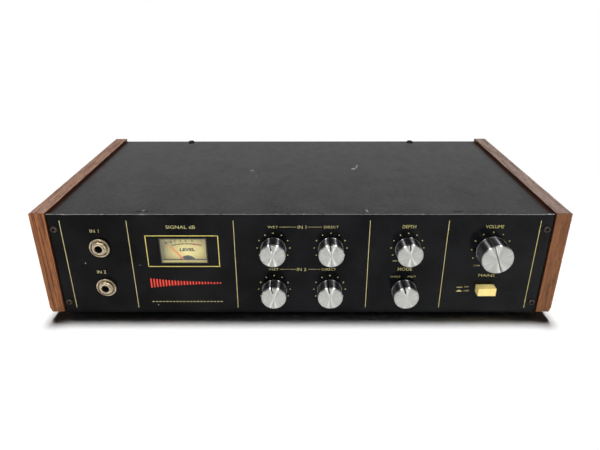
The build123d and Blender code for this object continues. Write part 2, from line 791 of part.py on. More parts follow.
# Level meter: a moulded case whose snout fills the panel's cut-out
pivot_x = meter_x + needle_pivot_shift
pivot_z = meter_z - needle_pivot_drop
meter_floor_z = pivot_z - needle_pivot_floor
window_top_z = meter_z + window_height / 2
meter_front_inner_y = panel_back_y + meter_front_wall
needle_front_y = meter_front_inner_y + needle_front_gap
needle_back_y = needle_front_y + needle_thickness
dial_face_y = needle_back_y + needle_back_gap
dial_back_y = dial_face_y + dial_thickness
snout_length = panel_thickness - snout_recess
meter_back_inner_y = panel_back_y + meter_depth - meter_wall
with BuildPart() as meter_case:
    with BuildSketch(facing_rear(meter_x, panel_back_y, meter_floor_z - meter_wall)):
        Rectangle(
            window_width + 2 * meter_wall,
            window_top_z - meter_floor_z + 2 * meter_wall,
            align=(Align.CENTER, Align.MIN),
        )
    extrude(amount=meter_depth)
    with BuildSketch(facing_rear(meter_x, meter_front_inner_y, meter_floor_z)):
        Rectangle(window_width, window_top_z - meter_floor_z, align=(Align.CENTER, Align.MIN))
    extrude(amount=meter_depth - meter_front_wall - meter_wall, mode=Mode.SUBTRACT)
    with BuildSketch(facing_front(meter_x, panel_back_y, meter_z)):
        Rectangle(window_width + 2 * snout_wall, window_height + 2 * snout_wall)
    extrude(amount=snout_length)
    with BuildSketch(facing_front(meter_x, meter_front_inner_y, meter_z)):
        Rectangle(window_width, window_height)
    extrude(amount=meter_front_wall + snout_length, mode=Mode.SUBTRACT)
write(meter_case.part, "meter_case")

with BuildPart() as meter_window:
    with BuildSketch(facing_rear(meter_x, panel_face_y + snout_recess + window_recess, meter_z)):
        Rectangle(window_width - 2 * thread_gap, window_height - 2 * thread_gap)
    extrude(amount=window_thickness)
write(meter_window.part, "meter_window")

with BuildPart() as meter_dial:
    with BuildSketch(facing_rear(0, dial_face_y, 0)):
        with Locations((-meter_x, (meter_floor_z + window_top_z) / 2)):
            Rectangle(window_width - 2 * slip_gap, window_top_z - meter_floor_z - 2 * slip_gap)
        with Locations((-pivot_x, pivot_z)):
            Circle(arbor_radius + arbor_hole_gap, mode=Mode.SUBTRACT)
    extrude(amount=dial_thickness)
write(meter_dial.part, "meter_dial")

with BuildPart() as meter_hub_cover:
    with BuildSketch(facing_front(pivot_x, dial_face_y, pivot_z)):
        Circle(hub_cover_radius)
        with Locations((0, slip_gap - needle_pivot_floor)):
            Rectangle(
                2 * hub_cover_radius, hub_cover_radius, align=(Align.CENTER, Align.MAX), mode=Mode.SUBTRACT
            )
        Circle(arbor_radius + arbor_hole_gap, mode=Mode.SUBTRACT)
    extrude(amount=hub_cover_thickness)
write(meter_hub_cover.part, "meter_hub_cover")

with BuildPart() as meter_needle:
    with BuildSketch(turned(facing_front(pivot_x, needle_back_y, pivot_z), needle_rest_angle)):
        with BuildLine():
            Polyline(
                (-needle_root_width / 2, 0),
                (needle_root_width / 2, 0),
                (needle_tip_width / 2, needle_length),
                (-needle_tip_width / 2, needle_length),
                close=True,
            )
        make_face()
        Circle(needle_hub_radius)
    extrude(amount=needle_thickness)
write(meter_needle.part, "meter_needle")

magnet_front_y = dial_back_y + slip_gap
drum_front_y = magnet_front_y + drum_gap
drum_back_y = drum_front_y + drum_length
magnet_bore_end_y = drum_back_y + drum_gap
with BuildPart() as meter_arbor:
    with BuildSketch(facing_rear(pivot_x, needle_back_y, pivot_z)):
        Circle(arbor_radius)
    extrude(amount=drum_front_y - needle_back_y)
    with BuildSketch(facing_rear(pivot_x, drum_front_y, pivot_z)):
        Circle(drum_radius)
    extrude(amount=drum_length)
    with BuildSketch(facing_rear(pivot_x, drum_back_y, pivot_z)):
        Circle(arbor_pin_radius)
    extrude(amount=drum_gap + arbor_pin_length)
write(meter_arbor.part, "meter_arbor")

with BuildPart() as meter_magnet:
    with BuildSketch(facing_rear(pivot_x, magnet_front_y, meter_floor_z)):
        Rectangle(magnet_width, magnet_height, align=(Align.CENTER, Align.MIN))
    extrude(amount=magnet_bore_end_y + magnet_rear_wall - magnet_front_y)
    with BuildSketch(facing_rear(pivot_x, magnet_front_y, pivot_z)):
        Circle(drum_radius + drum_gap)
    extrude(amount=magnet_bore_end_y - magnet_front_y, mode=Mode.SUBTRACT)
    with BuildSketch(facing_rear(pivot_x, magnet_bore_end_y, pivot_z)):
        Circle(arbor_pin_radius + running_gap)
    extrude(amount=magnet_rear_wall, mode=Mode.SUBTRACT)
write(meter_magnet.part, "meter_magnet")

with BuildPart() as meter_lamp:
    lamp_z = window_top_z - lamp_radius - slip_gap
    with BuildSketch(facing_side(meter_x - lamp_length / 2, dial_back_y + lamp_setback, lamp_z, 1)):
        Circle(lamp_radius)
    extrude(amount=lamp_length)
write(meter_lamp.part, "meter_lamp")

# Power switch: a moulded button on a plunger that slides in the switch's case against a spring
button_tail_y = panel_back_y + button_tail
plunger_end_y = button_tail_y + plunger_length
switch_front_y = panel_back_y + switch_standoff
switch_bore_end_y = plunger_end_y + spring_length
with BuildPart() as power_button:
    with BuildSketch(facing_front(button_x, button_tail_y, button_z)):
        Rectangle(button_width, button_height)
    extrude(amount=button_tail + panel_thickness + button_reach)
    fillet(power_button.faces().sort_by(Axis.Y)[0].edges(), radius=button_edge_radius)
write(power_button.part, "power_button")

with BuildPart() as power_plunger:
    with BuildSketch(facing_rear(button_x, button_tail_y, button_z)):
        Rectangle(plunger_width, plunger_height)
    extrude(amount=plunger_length)
write(power_plunger.part, "power_plunger")

with BuildPart() as power_switch_case:
    with BuildSketch(facing_rear(button_x, switch_front_y, button_z)):
        Rectangle(switch_case_width, switch_case_height)
    extrude(amount=switch_case_depth)
    with BuildSketch(facing_rear(button_x, switch_front_y, button_z)):
        Rectangle(plunger_width + 2 * slip_gap, plunger_height + 2 * slip_gap)
    extrude(amount=switch_bore_end_y - switch_front_y, mode=Mode.SUBTRACT)
write(power_switch_case.part, "power_switch_case")

with BuildPart() as power_spring:
    with BuildSketch(facing_rear(button_x, plunger_end_y + spring_end_gap, button_z)):
        Circle(spring_radius)
        Circle(spring_radius - spring_wire, mode=Mode.SUBTRACT)
    extrude(amount=spring_length - 2 * spring_end_gap)
write(power_spring.part, "power_spring")

with BuildPart() as power_switch_bracket:
    bracket_width = switch_case_width + 2 * bracket_overhang
    bracket_height = button_z - switch_case_height / 2 - floor_top_z
    with BuildSketch(facing_rear(button_x, switch_front_y, floor_top_z)):
        Rectangle(bracket_width, bracket_height, align=(Align.CENTER, Align.MIN))
        Rectangle(
            bracket_width - 2 * steel_sheet,
            bracket_height - steel_sheet,
            align=(Align.CENTER, Align.MIN),
            mode=Mode.SUBTRACT,
        )
    extrude(amount=switch_case_depth)
write(power_switch_bracket.part, "power_switch_bracket")

# Fuse holder with its screw cap, and the gland for the mains lead
with BuildPart() as fuse_holder:
    with BuildSketch(facing_rear(fuse_x, rear_face_y, rear_row_z)):
        Circle(fuse_flange_radius)
    extrude(amount=fuse_flange_height)
    with BuildSketch(facing_front(fuse_x, rear_face_y, rear_row_z)):
        Circle(fuse_body_radius)
    extrude(amount=fuse_body_length)
write(fuse_holder.part, "fuse_holder")

with BuildPart() as fuse_cap:
    cap_plane = facing_rear(fuse_x, rear_face_y + fuse_flange_height, rear_row_z)
    with BuildSketch(cap_plane):
        Circle(fuse_cap_radius)
    extrude(amount=fuse_cap_length)
    chamfer(fuse_cap.faces().sort_by(Axis.Y)[-1].edges(), length=fuse_cap_bevel)
    with BuildSketch(cap_plane):
        with PolarLocations(fuse_cap_radius, fuse_grip_count):
            Circle(fuse_grip_radius)
    extrude(amount=fuse_cap_length, mode=Mode.SUBTRACT)
write(fuse_cap.part, "fuse_cap")

with BuildPart() as mains_gland:
    with BuildSketch(facing_rear(gland_x, rear_face_y, rear_row_z)):
        Circle(gland_flange_radius)
    extrude(amount=gland_flange_height)
    with BuildSketch(facing_rear(gland_x, rear_face_y + gland_flange_height, rear_row_z)):
        Circle(gland_nose_radius)
    extrude(amount=gland_nose_length)
    chamfer(mains_gland.faces().sort_by(Axis.Y)[-1].edges(), length=gland_nose_bevel)
    with BuildSketch(facing_front(gland_x, rear_face_y, rear_row_z)):
        Circle(gland_body_radius)
    extrude(amount=steel_sheet + gland_body_length)
    with BuildSketch(facing_rear(gland_x, rear_inner_y - gland_body_length - overrun, rear_row_z)):
        Circle(gland_bore_radius)
    extrude(
        amount=gland_body_length + steel_sheet + gland_flange_height + gland_nose_length + 2 * overrun,
        mode=Mode.SUBTRACT,
    )
write(mains_gland.part, "mains_gland")

# Mains transformer: a stack of laminations on two ears, with the winding round its middle leg
core_leg = (core_width - 2 * core_window_width) / 2
window_middle = (core_leg + core_window_width) / 2
core_mid_z = floor_top_z + core_height / 2
with BuildPart() as transformer_core:
    with BuildSketch(facing_rear(transformer_x, transformer_y - core_depth / 2, core_mid_z)):
        Rectangle(core_width, core_height)
        with Locations((-window_middle, 0), (window_middle, 0)):
            Rectangle(core_window_width, core_window_height, mode=Mode.SUBTRACT)
    extrude(amount=core_depth)
    with BuildSketch(Plane.XY.offset(floor_top_z)):
        with Locations((transformer_x, transformer_y)):
            Rectangle(core_width + 2 * ear_length, core_depth)
        with Locations(*transformer_screw_points):
            Circle(machine_screw_radius + slip_gap, mode=Mode.SUBTRACT)
    extrude(amount=ear_thickness)
write(transformer_core.part, "transformer_core")

with BuildPart() as transformer_winding:
    with BuildSketch(Plane.XY.offset(core_mid_z - core_window_height / 2 + winding_gap)):
        with Locations((transformer_x, transformer_y)):
            Rectangle(
                core_leg + 2 * (core_window_width - winding_gap), core_depth + 2 * winding_bulge
            )
            Rectangle(core_leg + 2 * winding_gap, core_depth + 2 * winding_gap, mode=Mode.SUBTRACT)
    extrude(amount=core_window_height - 2 * winding_gap)
write(transformer_winding.part, "transformer_winding")

# Circuit board on its spacers, with its larger capacitors
with BuildPart() as circuit_board:
    with BuildSketch(Plane.XY.offset(board_bottom_z)):
        with Locations((board_x, board_y)):
            Rectangle(board_width, board_depth)
        with Locations(*board_screw_points):
            Circle(machine_screw_radius + slip_gap, mode=Mode.SUBTRACT)
    extrude(amount=board_thickness)
write(circuit_board.part, "circuit_board")

with BuildPart() as board_spacers:
    with BuildSketch(Plane.XY.offset(floor_top_z)):
        with Locations(*board_screw_points):
            Circle(spacer_radius)
            Circle(machine_screw_radius + thread_gap, mode=Mode.SUBTRACT)
    extrude(amount=spacer_height)
write(board_spacers.part, "board_spacers")

with BuildPart() as board_capacitors:
    for (radius, height), x_share, y_share in zip(capacitor_sizes, capacitor_x_shares, capacitor_y_shares):
        with BuildSketch(Plane.XY.offset(board_top_z)):
            with Locations((board_x + x_share * board_width, board_y + y_share * board_depth)):
                Circle(radius)
        extrude(amount=height)
write(board_capacitors.part, "board_capacitors")

# Spring tank: a steel pan, open below, with springs stretched between two transducers under its roof
with BuildPart() as tank_pan:
    with BuildSketch(Plane.XY.offset(floor_top_z)):
        with Locations((tank_x, tank_y)):
            Rectangle(tank_width, tank_depth)
    extrude(amount=tank_height)
    offset(amount=-tank_sheet, openings=tank_pan.faces().sort_by(Axis.Z)[0])
    with BuildSketch(Plane.XY.offset(floor_top_z)):
        for side in (-1, 1):
            with Locations((tank_x + side * (tank_width + tank_ear_length) / 2, tank_y)):
                Rectangle(tank_ear_length, tank_depth)
        with Locations(*tank_screw_points):
            Circle(machine_screw_radius + slip_gap, mode=Mode.SUBTRACT)
    extrude(amount=tank_sheet)
write(tank_pan.part, "tank_pan")

tank_roof_z = floor_top_z + tank_height - tank_sheet
transducer_x = tank_width / 2 - tank_sheet - transducer_width / 2
with BuildPart() as tank_transducers:
    with BuildSketch(Plane.XY.offset(tank_roof_z - transducer_height)):
        with Locations((tank_x - transducer_x, tank_y), (tank_x + transducer_x, tank_y)):
            Rectangle(transducer_width, transducer_depth)
    extrude(amount=transducer_height)
write(tank_transducers.part, "tank_transducers")

spring_span = 2 * transducer_x - transducer_width
with BuildPart() as reverb_springs:
    spring_z = tank_roof_z - transducer_height / 2
    with BuildSketch(facing_side(tank_x - spring_span / 2, tank_y, spring_z, 1)):
        with GridLocations(tank_spring_pitch, 0, tank_spring_count, 1):
            Circle(tank_spring_radius)
            Circle(tank_spring_radius - tank_spring_wire, mode=Mode.SUBTRACT)
    extrude(amount=spring_span)
write(reverb_springs.part, "reverb_springs")
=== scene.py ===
"""Dresses the echo unit: finishes for its solids, finely turned and printed pieces, and the studio round it.

Lengths are in metres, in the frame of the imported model: +X to the right, +Z up, and the front faces -Y.
"""
import json
from math import cos, exp, pi, radians, sin, sqrt

import bmesh
import bpy
from mathutils import Matrix, Vector

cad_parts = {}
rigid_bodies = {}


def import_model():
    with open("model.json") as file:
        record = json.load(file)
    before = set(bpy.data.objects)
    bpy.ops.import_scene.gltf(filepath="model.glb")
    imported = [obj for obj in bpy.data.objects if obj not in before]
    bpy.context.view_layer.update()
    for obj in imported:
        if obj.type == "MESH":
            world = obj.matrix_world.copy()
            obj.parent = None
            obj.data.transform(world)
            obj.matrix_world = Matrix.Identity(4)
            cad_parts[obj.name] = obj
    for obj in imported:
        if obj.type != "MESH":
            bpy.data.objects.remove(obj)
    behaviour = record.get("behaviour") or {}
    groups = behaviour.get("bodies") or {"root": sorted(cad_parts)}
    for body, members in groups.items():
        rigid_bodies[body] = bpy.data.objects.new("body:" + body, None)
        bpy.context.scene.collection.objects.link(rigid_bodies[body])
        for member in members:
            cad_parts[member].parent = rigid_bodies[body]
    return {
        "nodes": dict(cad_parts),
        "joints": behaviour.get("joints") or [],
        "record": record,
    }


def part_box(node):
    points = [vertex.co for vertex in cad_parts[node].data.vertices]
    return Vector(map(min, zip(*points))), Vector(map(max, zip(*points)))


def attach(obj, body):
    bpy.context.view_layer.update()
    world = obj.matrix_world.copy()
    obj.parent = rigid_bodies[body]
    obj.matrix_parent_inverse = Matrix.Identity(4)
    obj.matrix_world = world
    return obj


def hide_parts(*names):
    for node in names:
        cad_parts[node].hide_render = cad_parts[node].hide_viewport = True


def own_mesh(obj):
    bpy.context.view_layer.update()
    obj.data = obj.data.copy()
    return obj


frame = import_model()
nodes = frame["nodes"]
joints = {joint["name"]: joint for joint in frame["joints"]}
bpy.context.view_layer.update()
scene = bpy.context.scene
MM = 0.001


# Wooden cheeks: two boards under walnut veneer, oiled to a low sheen. The grain runs along their sides and
# tops, and upright on the strips that lip their ends. Their inner faces and undersides are painted dark
# brown, a painted shade; their tops are painted paler and greyer than their fronts, partly a painted sheen.
def srgb(red, green, blue):
    """A colour from 0 to 255 as the linear values that a socket takes."""
    shares = [channel / 255 for channel in (red, green, blue)]
    linear = [c / 12.92 if c <= 0.04045 else ((c + 0.055) / 1.055) ** 2.4 for c in shares]
    return (*linear, 1.0)


def add_node(tree, kind, inputs=None, **settings):
    """A new node with its settings; inputs are values or other nodes' outputs."""
    made = tree.nodes.new(kind)
    for key, value in settings.items():
        setattr(made, key, value)
    for key, value in (inputs or {}).items():
        if isinstance(value, bpy.types.NodeSocket):
            tree.links.new(value, made.inputs[key])
        else:
            made.inputs[key].default_value = value
    return made


def set_stops(band, stops):
    """Gives a colour ramp its (position, colour) stops; a plain number is a linear grey."""
    while len(band.elements) < len(stops):
        band.elements.new(0.5)
    for element, (position, colour) in zip(band.elements, stops):
        element.position = position
        element.color = srgb(*colour) if isinstance(colour, tuple) else (colour, colour, colour, 1)


class Finish:
    """A material with one Principled shader, and short ways to add the textures of a real finish.

    Colours are given as a screen shows them, from 0 to 255.
    """

    def __init__(self, name, roughness=0.5, metallic=0.0, specular=0.5, colour=(255, 255, 255)):
        self.material = bpy.data.materials.new(name)
        self.material.use_nodes = True
        self.tree = self.material.node_tree
        self.shader = self.tree.nodes["Principled BSDF"]
        for socket, value in (("Base Color", srgb(*colour)), ("Roughness", roughness), ("Metallic", metallic),
                              ("Specular IOR Level", specular)):
            self.shader.inputs[socket].default_value = value

    def node(self, kind, inputs=None, **settings):
        return add_node(self.tree, "ShaderNode" + kind, inputs, **settings)

    def place(self, kind="Object"):
        """A place on the object in metres, or the surface's Normal."""
        return self.node("TexCoord").outputs[kind]

    def axes(self, kind="Object"):
        return self.node("SeparateXYZ", {"Vector": self.place(kind)}).outputs

    def mapped(self, vector, location=(0, 0, 0), scale=(1, 1, 1)):
        """A vector scaled along each axis, then moved."""
        inputs = {"Vector": vector, "Location": location, "Scale": scale}
        return self.node("Mapping", inputs).outputs["Vector"]

    def length(self, vector):
        return self.node("VectorMath", {0: vector}, operation="LENGTH").outputs["Value"]

    def noise(self, size, stretch=(1, 1, 1), detail=3.0, vector=None, distortion=0.0):
        """Soft noise whose spots are about the given size in metres, stretched along each axis."""
        spot = self.mapped(vector or self.place(), scale=[1 / s for s in stretch])
        inputs = {"Vector": spot, "Scale": 1 / size, "Detail": detail, "Distortion": distortion}
        return self.node("TexNoise", inputs).outputs["Fac"]

    def ramp(self, value, stops):
        """Colours or greys for a value, from (position, colour) stops."""
        made = self.node("ValToRGB", {"Fac": value})
        set_stops(made.color_ramp, stops)
        return made.outputs["Color"]

    def math(self, operation, first, second=0.0):
        return self.node("Math", {0: first, 1: second}, operation=operation).outputs[0]

    def times(self, first, second):
        return self.math("MULTIPLY", first, second)

    def over(self, first, second):
        return self.math("GREATER_THAN", first, second)

    def distance(self, first, second):
        """The distance from an axis, from two lengths across it."""
        squares = [self.math("POWER", side, 2.0) for side in (first, second)]
        return self.math("SQRT", self.math("ADD", *squares))

    def span(self, value, low, high, first=0.0, last=1.0):
        """A number that runs from first to last while a value runs from low to high."""
        bounds = {"Value": value, "From Min": low, "From Max": high, "To Min": first, "To Max": last}
        return self.node("MapRange", bounds).outputs["Result"]

    def mix(self, amount, first, second):
        """The second colour over the first; each is a colour or a node's output."""
        first, second = [srgb(*colour) if isinstance(colour, tuple) else colour for colour in (first, second)]
        return self.node("Mix", {0: amount, 6: first, 7: second}, data_type="RGBA").outputs[2]

    def blot(self, under, colour, place, reach, amount, turn=0.0):
        """A soft-rimmed spot of a colour over another, with a reach along each axis and a turn about Z."""
        rotation = (0, 0, radians(turn))
        inputs = {"Vector": self.place(), "Location": place, "Rotation": rotation, "Scale": reach}
        near = self.node("Mapping", inputs, vector_type="TEXTURE").outputs["Vector"]
        return self.mix(self.times(self.span(self.length(near), 1.0, 0.55), amount), under, colour)

    def set(self, socket, value):
        self.tree.links.new(value, self.shader.inputs[socket])

    def spots(self, size, dark, light, stretch=(1, 1, 1), detail=3.0, ends=(0.3, 0.7)):
        """Colours the surface in soft spots between two colours, and returns their noise."""
        value = self.noise(size, stretch, detail)
        self.set("Base Color", self.ramp(value, [(ends[0], dark), (ends[1], light)]))
        return value

    def polish(self, value, first, last):
        """Roughness that runs from one share to another as a noise rises."""
        self.set("Roughness", self.ramp(value, [(0.3, first), (0.7, last)]))

    def bump(self, height, depth, strength):
        """Relief on the surface, with its depth in metres."""
        made = self.node("Bump", {"Height": height, "Distance": depth, "Strength": strength})
        self.set("Normal", made.outputs["Normal"])

    def dress(self, *names):
        """Puts this finish on solids of the frame."""
        for name in names:
            for slot in nodes[name].material_slots:
                slot.material = self.material


cheek_low, cheek_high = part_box("left_cheek")
walnut_dark, walnut_mid, walnut_light = (82, 46, 24), (130, 79, 43), (160, 101, 57)
right_dark, right_mid, right_light = (80, 48, 27), (118, 76, 45), (142, 95, 58)
# Tops: the grain is painted paler and greyer than on the fronts, partly a painted sheen
top_sheen_dark, top_sheen_mid, top_sheen_light = (122, 92, 77), (164, 128, 109), (190, 153, 132)
pore_brown = (74, 46, 34)
shade_dark_brown, shade_red_brown = (40, 19, 9), (84, 46, 26)
stripe_width, streak_width, pore_width = 1.9 * MM, 1.3 * MM, 0.75 * MM
stripe_run, streak_run, pore_run = (1, 34, 1), (1, 26, 1), (1, 8, 1)  # how far the grain draws each one out
lipping = 1.7 * MM
square_on = 0.7  # a face counts as a front, a top or an underside above this share of its normal
front_change, top_change, right_top_sheen = 0.11, 0.05, 0.3

wood = Finish("walnut_veneer", specular=0.25)
facing, spot = wood.axes("Normal"), wood.axes()
upright = wood.over(wood.math("ABSOLUTE", facing["Y"]), square_on)
turned_spot = wood.node("CombineXYZ", {"X": spot["X"], "Y": spot["Z"], "Z": spot["Y"]})
along_grain = wood.mix(upright, wood.place(), turned_spot.outputs["Vector"])
stripes = wood.noise(stripe_width, stripe_run, 4.0, along_grain, distortion=0.5)
streaks = wood.noise(streak_width, streak_run, 3.0, along_grain)
pores = wood.noise(pore_width, pore_run, 2.0, along_grain)
bold_grain = wood.ramp(stripes, [(0.36, walnut_dark), (0.46, walnut_mid), (0.64, walnut_light)])
fine_grain = wood.ramp(streaks, [(0.3, right_dark), (0.5, right_mid), (0.78, right_light)])
top_grain_and_sheen = wood.ramp(streaks, [(0.32, top_sheen_dark), (0.48, top_sheen_mid), (0.7, top_sheen_light)])
painted_shade = wood.ramp(streaks, [(0.3, shade_dark_brown), (0.7, shade_red_brown)])
right_board = wood.over(spot["X"], 0.0)
edge_grain = wood.mix(wood.times(right_board, 0.75), bold_grain, fine_grain)
on_top = wood.over(facing["Z"], square_on)
behind_lipping = wood.over(spot["Y"], cheek_low.y + lipping)
grain_and_sheen = wood.mix(wood.times(on_top, behind_lipping), edge_grain, top_grain_and_sheen)
grain_and_sheen = wood.mix(wood.ramp(pores, [(0.52, 0.0), (0.66, 0.62)]), grain_and_sheen, pore_brown)
# The left board pales towards the top of its front and the right one darkens there; the right top is greyed,
# a painted sheen
side = wood.math("SIGN", spot["X"])
rise = wood.times(wood.span(spot["Z"], cheek_low.z, cheek_high.z), upright)
change = wood.math("ADD", wood.times(rise, front_change), wood.times(on_top, top_change))
tone = wood.math("SUBTRACT", 1.0, wood.times(side, change))
right_top = wood.times(on_top, right_board)
sheen_saturation = wood.math("SUBTRACT", 1.0, wood.times(right_top, right_top_sheen))
grain_and_sheen = wood.node("HueSaturation", {"Color": grain_and_sheen, "Saturation": sheen_saturation, "Value": tone}).outputs["Color"]
# Painted shade: inner faces and undersides take a dark brown in place of the grain
inner_face = wood.math("LESS_THAN", wood.times(facing["X"], side), -0.5)
shaded_faces = wood.math("MAXIMUM", inner_face, wood.math("LESS_THAN", facing["Z"], -square_on))
wood.set("Base Color", wood.mix(shaded_faces, grain_and_sheen, painted_shade))
wood.polish(stripes, 0.6, 0.46)
wood.bump(pores, -0.05 * MM, 0.5)
wood.dress("left_cheek", "right_cheek")

# Steel cabinet: the cover, the rear panel and the bottom plate are folded sheet under matt black paint that
# has greyed with age. The paint's fine orange peel breaks up the light, and the cover is scratched and dusty;
# it is painted paler towards its rear, partly a painted sheen, and darker along the cheeks, a painted shade.
cover_black, cover_rubbed = (54, 54, 54), (69, 69, 69)
dust_and_sheen, bare_steel = (102, 102, 102), (172, 170, 154)
knock_black, corner_shade_brown = (22, 21, 18), (42, 15, 4)
peel_size, peel_depth = 0.9 * MM, 0.05 * MM
corner_shade_reach = 12 * MM
cover_low, cover_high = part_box("top_cover")

cover = Finish("aged_cover_paint", specular=0.35)
cover_spot = cover.axes()
mottle = cover.noise(34 * MM, detail=5.0)
speckle = cover.noise(1.7 * MM, (1, 2.2, 1), 4.0)
patches = cover.noise(6 * MM, (1.2, 2.2, 1), 3.0)
wear_sheen_and_shade = cover.ramp(mottle, [(0.34, cover_black), (0.68, cover_rubbed)])
wear_sheen_and_shade = cover.mix(cover.ramp(speckle, [(0.38, 0.0), (0.66, 0.44)]), wear_sheen_and_shade, dust_and_sheen)
# Paler towards the rear: the dust colour here also stands for a painted sheen
rear_sheen_share = cover.span(cover_spot["Y"], cover_low.y, cover_high.y, last=0.8)
wear_sheen_and_shade = cover.mix(rear_sheen_share, wear_sheen_and_shade, dust_and_sheen)
wear_sheen_and_shade = cover.mix(cover.ramp(patches, [(0.4, 0.0), (0.65, 0.22)]), wear_sheen_and_shade, cover_black)
# Scratches through the paint, and dark knocks beside the front edge where it has lifted: place across and
# along the cover, half-sizes, turn and strength, in millimetres and degrees
scratches = (
    (-48.6, 6.2, 2.6, 3.4, 0, 0.45), (-43.3, -10.7, 0.9, 2.6, 0, 0.4), (53.9, 11.0, 2.6, 3.0, 0, 0.95),
    (58.0, 18.5, 1.2, 8.0, -12, 0.6), (55.6, -97.5, 1.1, 4.2, 8, 0.7), (-130.6, -96.6, 1.2, 2.0, 0, 0.55))
knocks = (
    (-134.5, -98.6, 2.6, 2.2, 0, 0.85), (-128.0, -98.8, 2.8, 2.0, 0, 0.85), (128.6, -99.0, 2.0, 2.2, 0, 0.85),
    (132.5, -98.6, 2.4, 2.0, 0, 0.85))
for colour, marks in ((bare_steel, scratches), (knock_black, knocks)):
    for x, y, half_x, half_y, turn, amount in marks:
        place, reach = (x * MM, y * MM, cover_high.z), (half_x * MM, half_y * MM, MM)
        wear_sheen_and_shade = cover.blot(wear_sheen_and_shade, colour, place, reach, amount, turn)
# Painted shade in the corners along the cheeks
from_cheek = cover.math("SUBTRACT", cover_high.x, cover.math("ABSOLUTE", cover_spot["X"]))
corner_shade_share = cover.math("DIVIDE", from_cheek, corner_shade_reach)
wear_sheen_and_shade = cover.mix(cover.ramp(corner_shade_share, [(0.2, 0.96), (0.27, 0.35), (0.7, 0.0)]), wear_sheen_and_shade, corner_shade_brown)
cover.set("Base Color", wear_sheen_and_shade)
cover.polish(mottle, 0.46, 0.58)
cover.bump(cover.noise(peel_size), peel_depth, 0.5)
cover.dress("top_cover")

chassis = Finish("chassis_paint", 0.55, specular=0.35)
chassis.spots(24 * MM, (30, 30, 31), (47, 47, 46), detail=5.0, ends=(0.3, 0.75))
chassis.bump(chassis.noise(peel_size), peel_depth, 0.5)
chassis.dress("rear_panel", "bottom_plate")

zinc = Finish("zinc_plate", metallic=1.0)
zinc.polish(zinc.spots(9 * MM, (150, 150, 143), (188, 187, 176), detail=4.0), 0.46, 0.3)
zinc.dress("left_side_frame", "right_side_frame", "foot_screws", "cheek_screws", "chassis_screws")

# Visible screws: steel with a black oxide finish that has gone brown; the sockets of those in the front panel
# are painted near black, a painted shade. Feet: moulded black rubber with a dull skin, one under each corner.
head_radius, socket_radius, oxide_grain = 2.8 * MM, 1.4 * MM, 1.2 * MM
screws_low, screws_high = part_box("front_panel_screws")
oxide = Finish("brown_oxide", metallic=0.5)
oxide_spots = oxide.noise(oxide_grain, detail=4.0)
oxide_colour = oxide.ramp(oxide_spots, [(0.35, (48, 38, 34)), (0.7, (80, 63, 56))])
screw_spot = oxide.axes()
across = oxide.math("SUBTRACT", oxide.math("ABSOLUTE", screw_spot["X"]), screws_high.x - head_radius)
from_rows = [
    oxide.math("ABSOLUTE", oxide.math("SUBTRACT", screw_spot["Z"], row))
    for row in (screws_low.z + head_radius, screws_high.z - head_radius)]
# Painted shade: the sockets are near black
socket_shade = oxide.math("LESS_THAN", oxide.distance(across, oxide.math("MINIMUM", *from_rows)), socket_radius)
oxide.set("Base Color", oxide.mix(socket_shade, oxide_colour, (6, 5, 5)))
oxide.polish(oxide_spots, 0.34, 0.55)
oxide.dress("front_panel_screws", "rear_panel_screws")
black_oxide = Finish("black_oxide", 0.45, metallic=0.3, specular=0.3)
black_oxide.spots(oxide_grain, (18, 16, 15), (46, 40, 36), detail=4.0, ends=(0.35, 0.75))
black_oxide.dress("top_cover_screws")

rubber = Finish("foot_rubber", 0.8, specular=0.3)
rubber_skin = rubber.spots(0.7 * MM, (22, 22, 22), (38, 38, 37), ends=(0.3, 0.75))
rubber.bump(rubber_skin, 0.06 * MM, 0.6)
rubber.dress("feet")

# Front panel: thick aluminium plate under satin black paint. The paint is rubbed through along the top edge,
# where bare metal shows in chips, and the face has a few pale specks.
panel_low, panel_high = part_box("front_panel")
panel_face = panel_low.y
panel_warm, panel_cool = (9, 8, 8), (8, 9, 11)
bare_metal, rubbed_edge, dull_edge = (196, 196, 194), (128, 128, 130), (70, 70, 73)
edge_depth, edge_width = 0.15 * MM, 1.5 * MM
middle_sheen, right_sheen = 0.07, 0.125

panel = Finish("panel_paint", 0.16)
panel_spot = panel.axes()
face_colour = panel.mix(panel.span(panel_spot["X"], panel_low.x, 0.0), panel_warm, panel_cool)
clouds = panel.noise(30 * MM, detail=4.0)
face_colour = panel.mix(panel.ramp(clouds, [(0.35, 0.0), (0.75, 0.12)]), face_colour, dull_edge)
chips = panel.noise(1.5 * MM, (2.6, 1, 1), 3.0)
edge_colour = panel.ramp(chips, [
    (0.3, dull_edge), (0.46, rubbed_edge), (0.66, rubbed_edge), (0.74, bare_metal)])
# Larger chips in the top edge: place and half-length in millimetres
large_chips = (
    (-207.0, 1.2), (-194.8, 1.6), (-172.0, 0.9), (-162.1, 1.4), (-150.0, 0.9), (-129.4, 3.0), (3.1, 1.3),
    (100.5, 1.0), (203.5, 2.2))
for x, half in large_chips:
    place, reach = (x * MM, panel_face + edge_width, panel_high.z), (half * MM, 2.2 * MM, 2 * MM)
    edge_colour = panel.blot(edge_colour, bare_metal, place, reach, 0.6)
behind_line = panel.over(panel_spot["Y"], panel_face + edge_width)
edge_colour = panel.mix(behind_line, edge_colour, dull_edge)
near_top = panel.over(panel_spot["Z"], panel_high.z - edge_depth)
face_colour = panel.mix(near_top, face_colour, edge_colour)
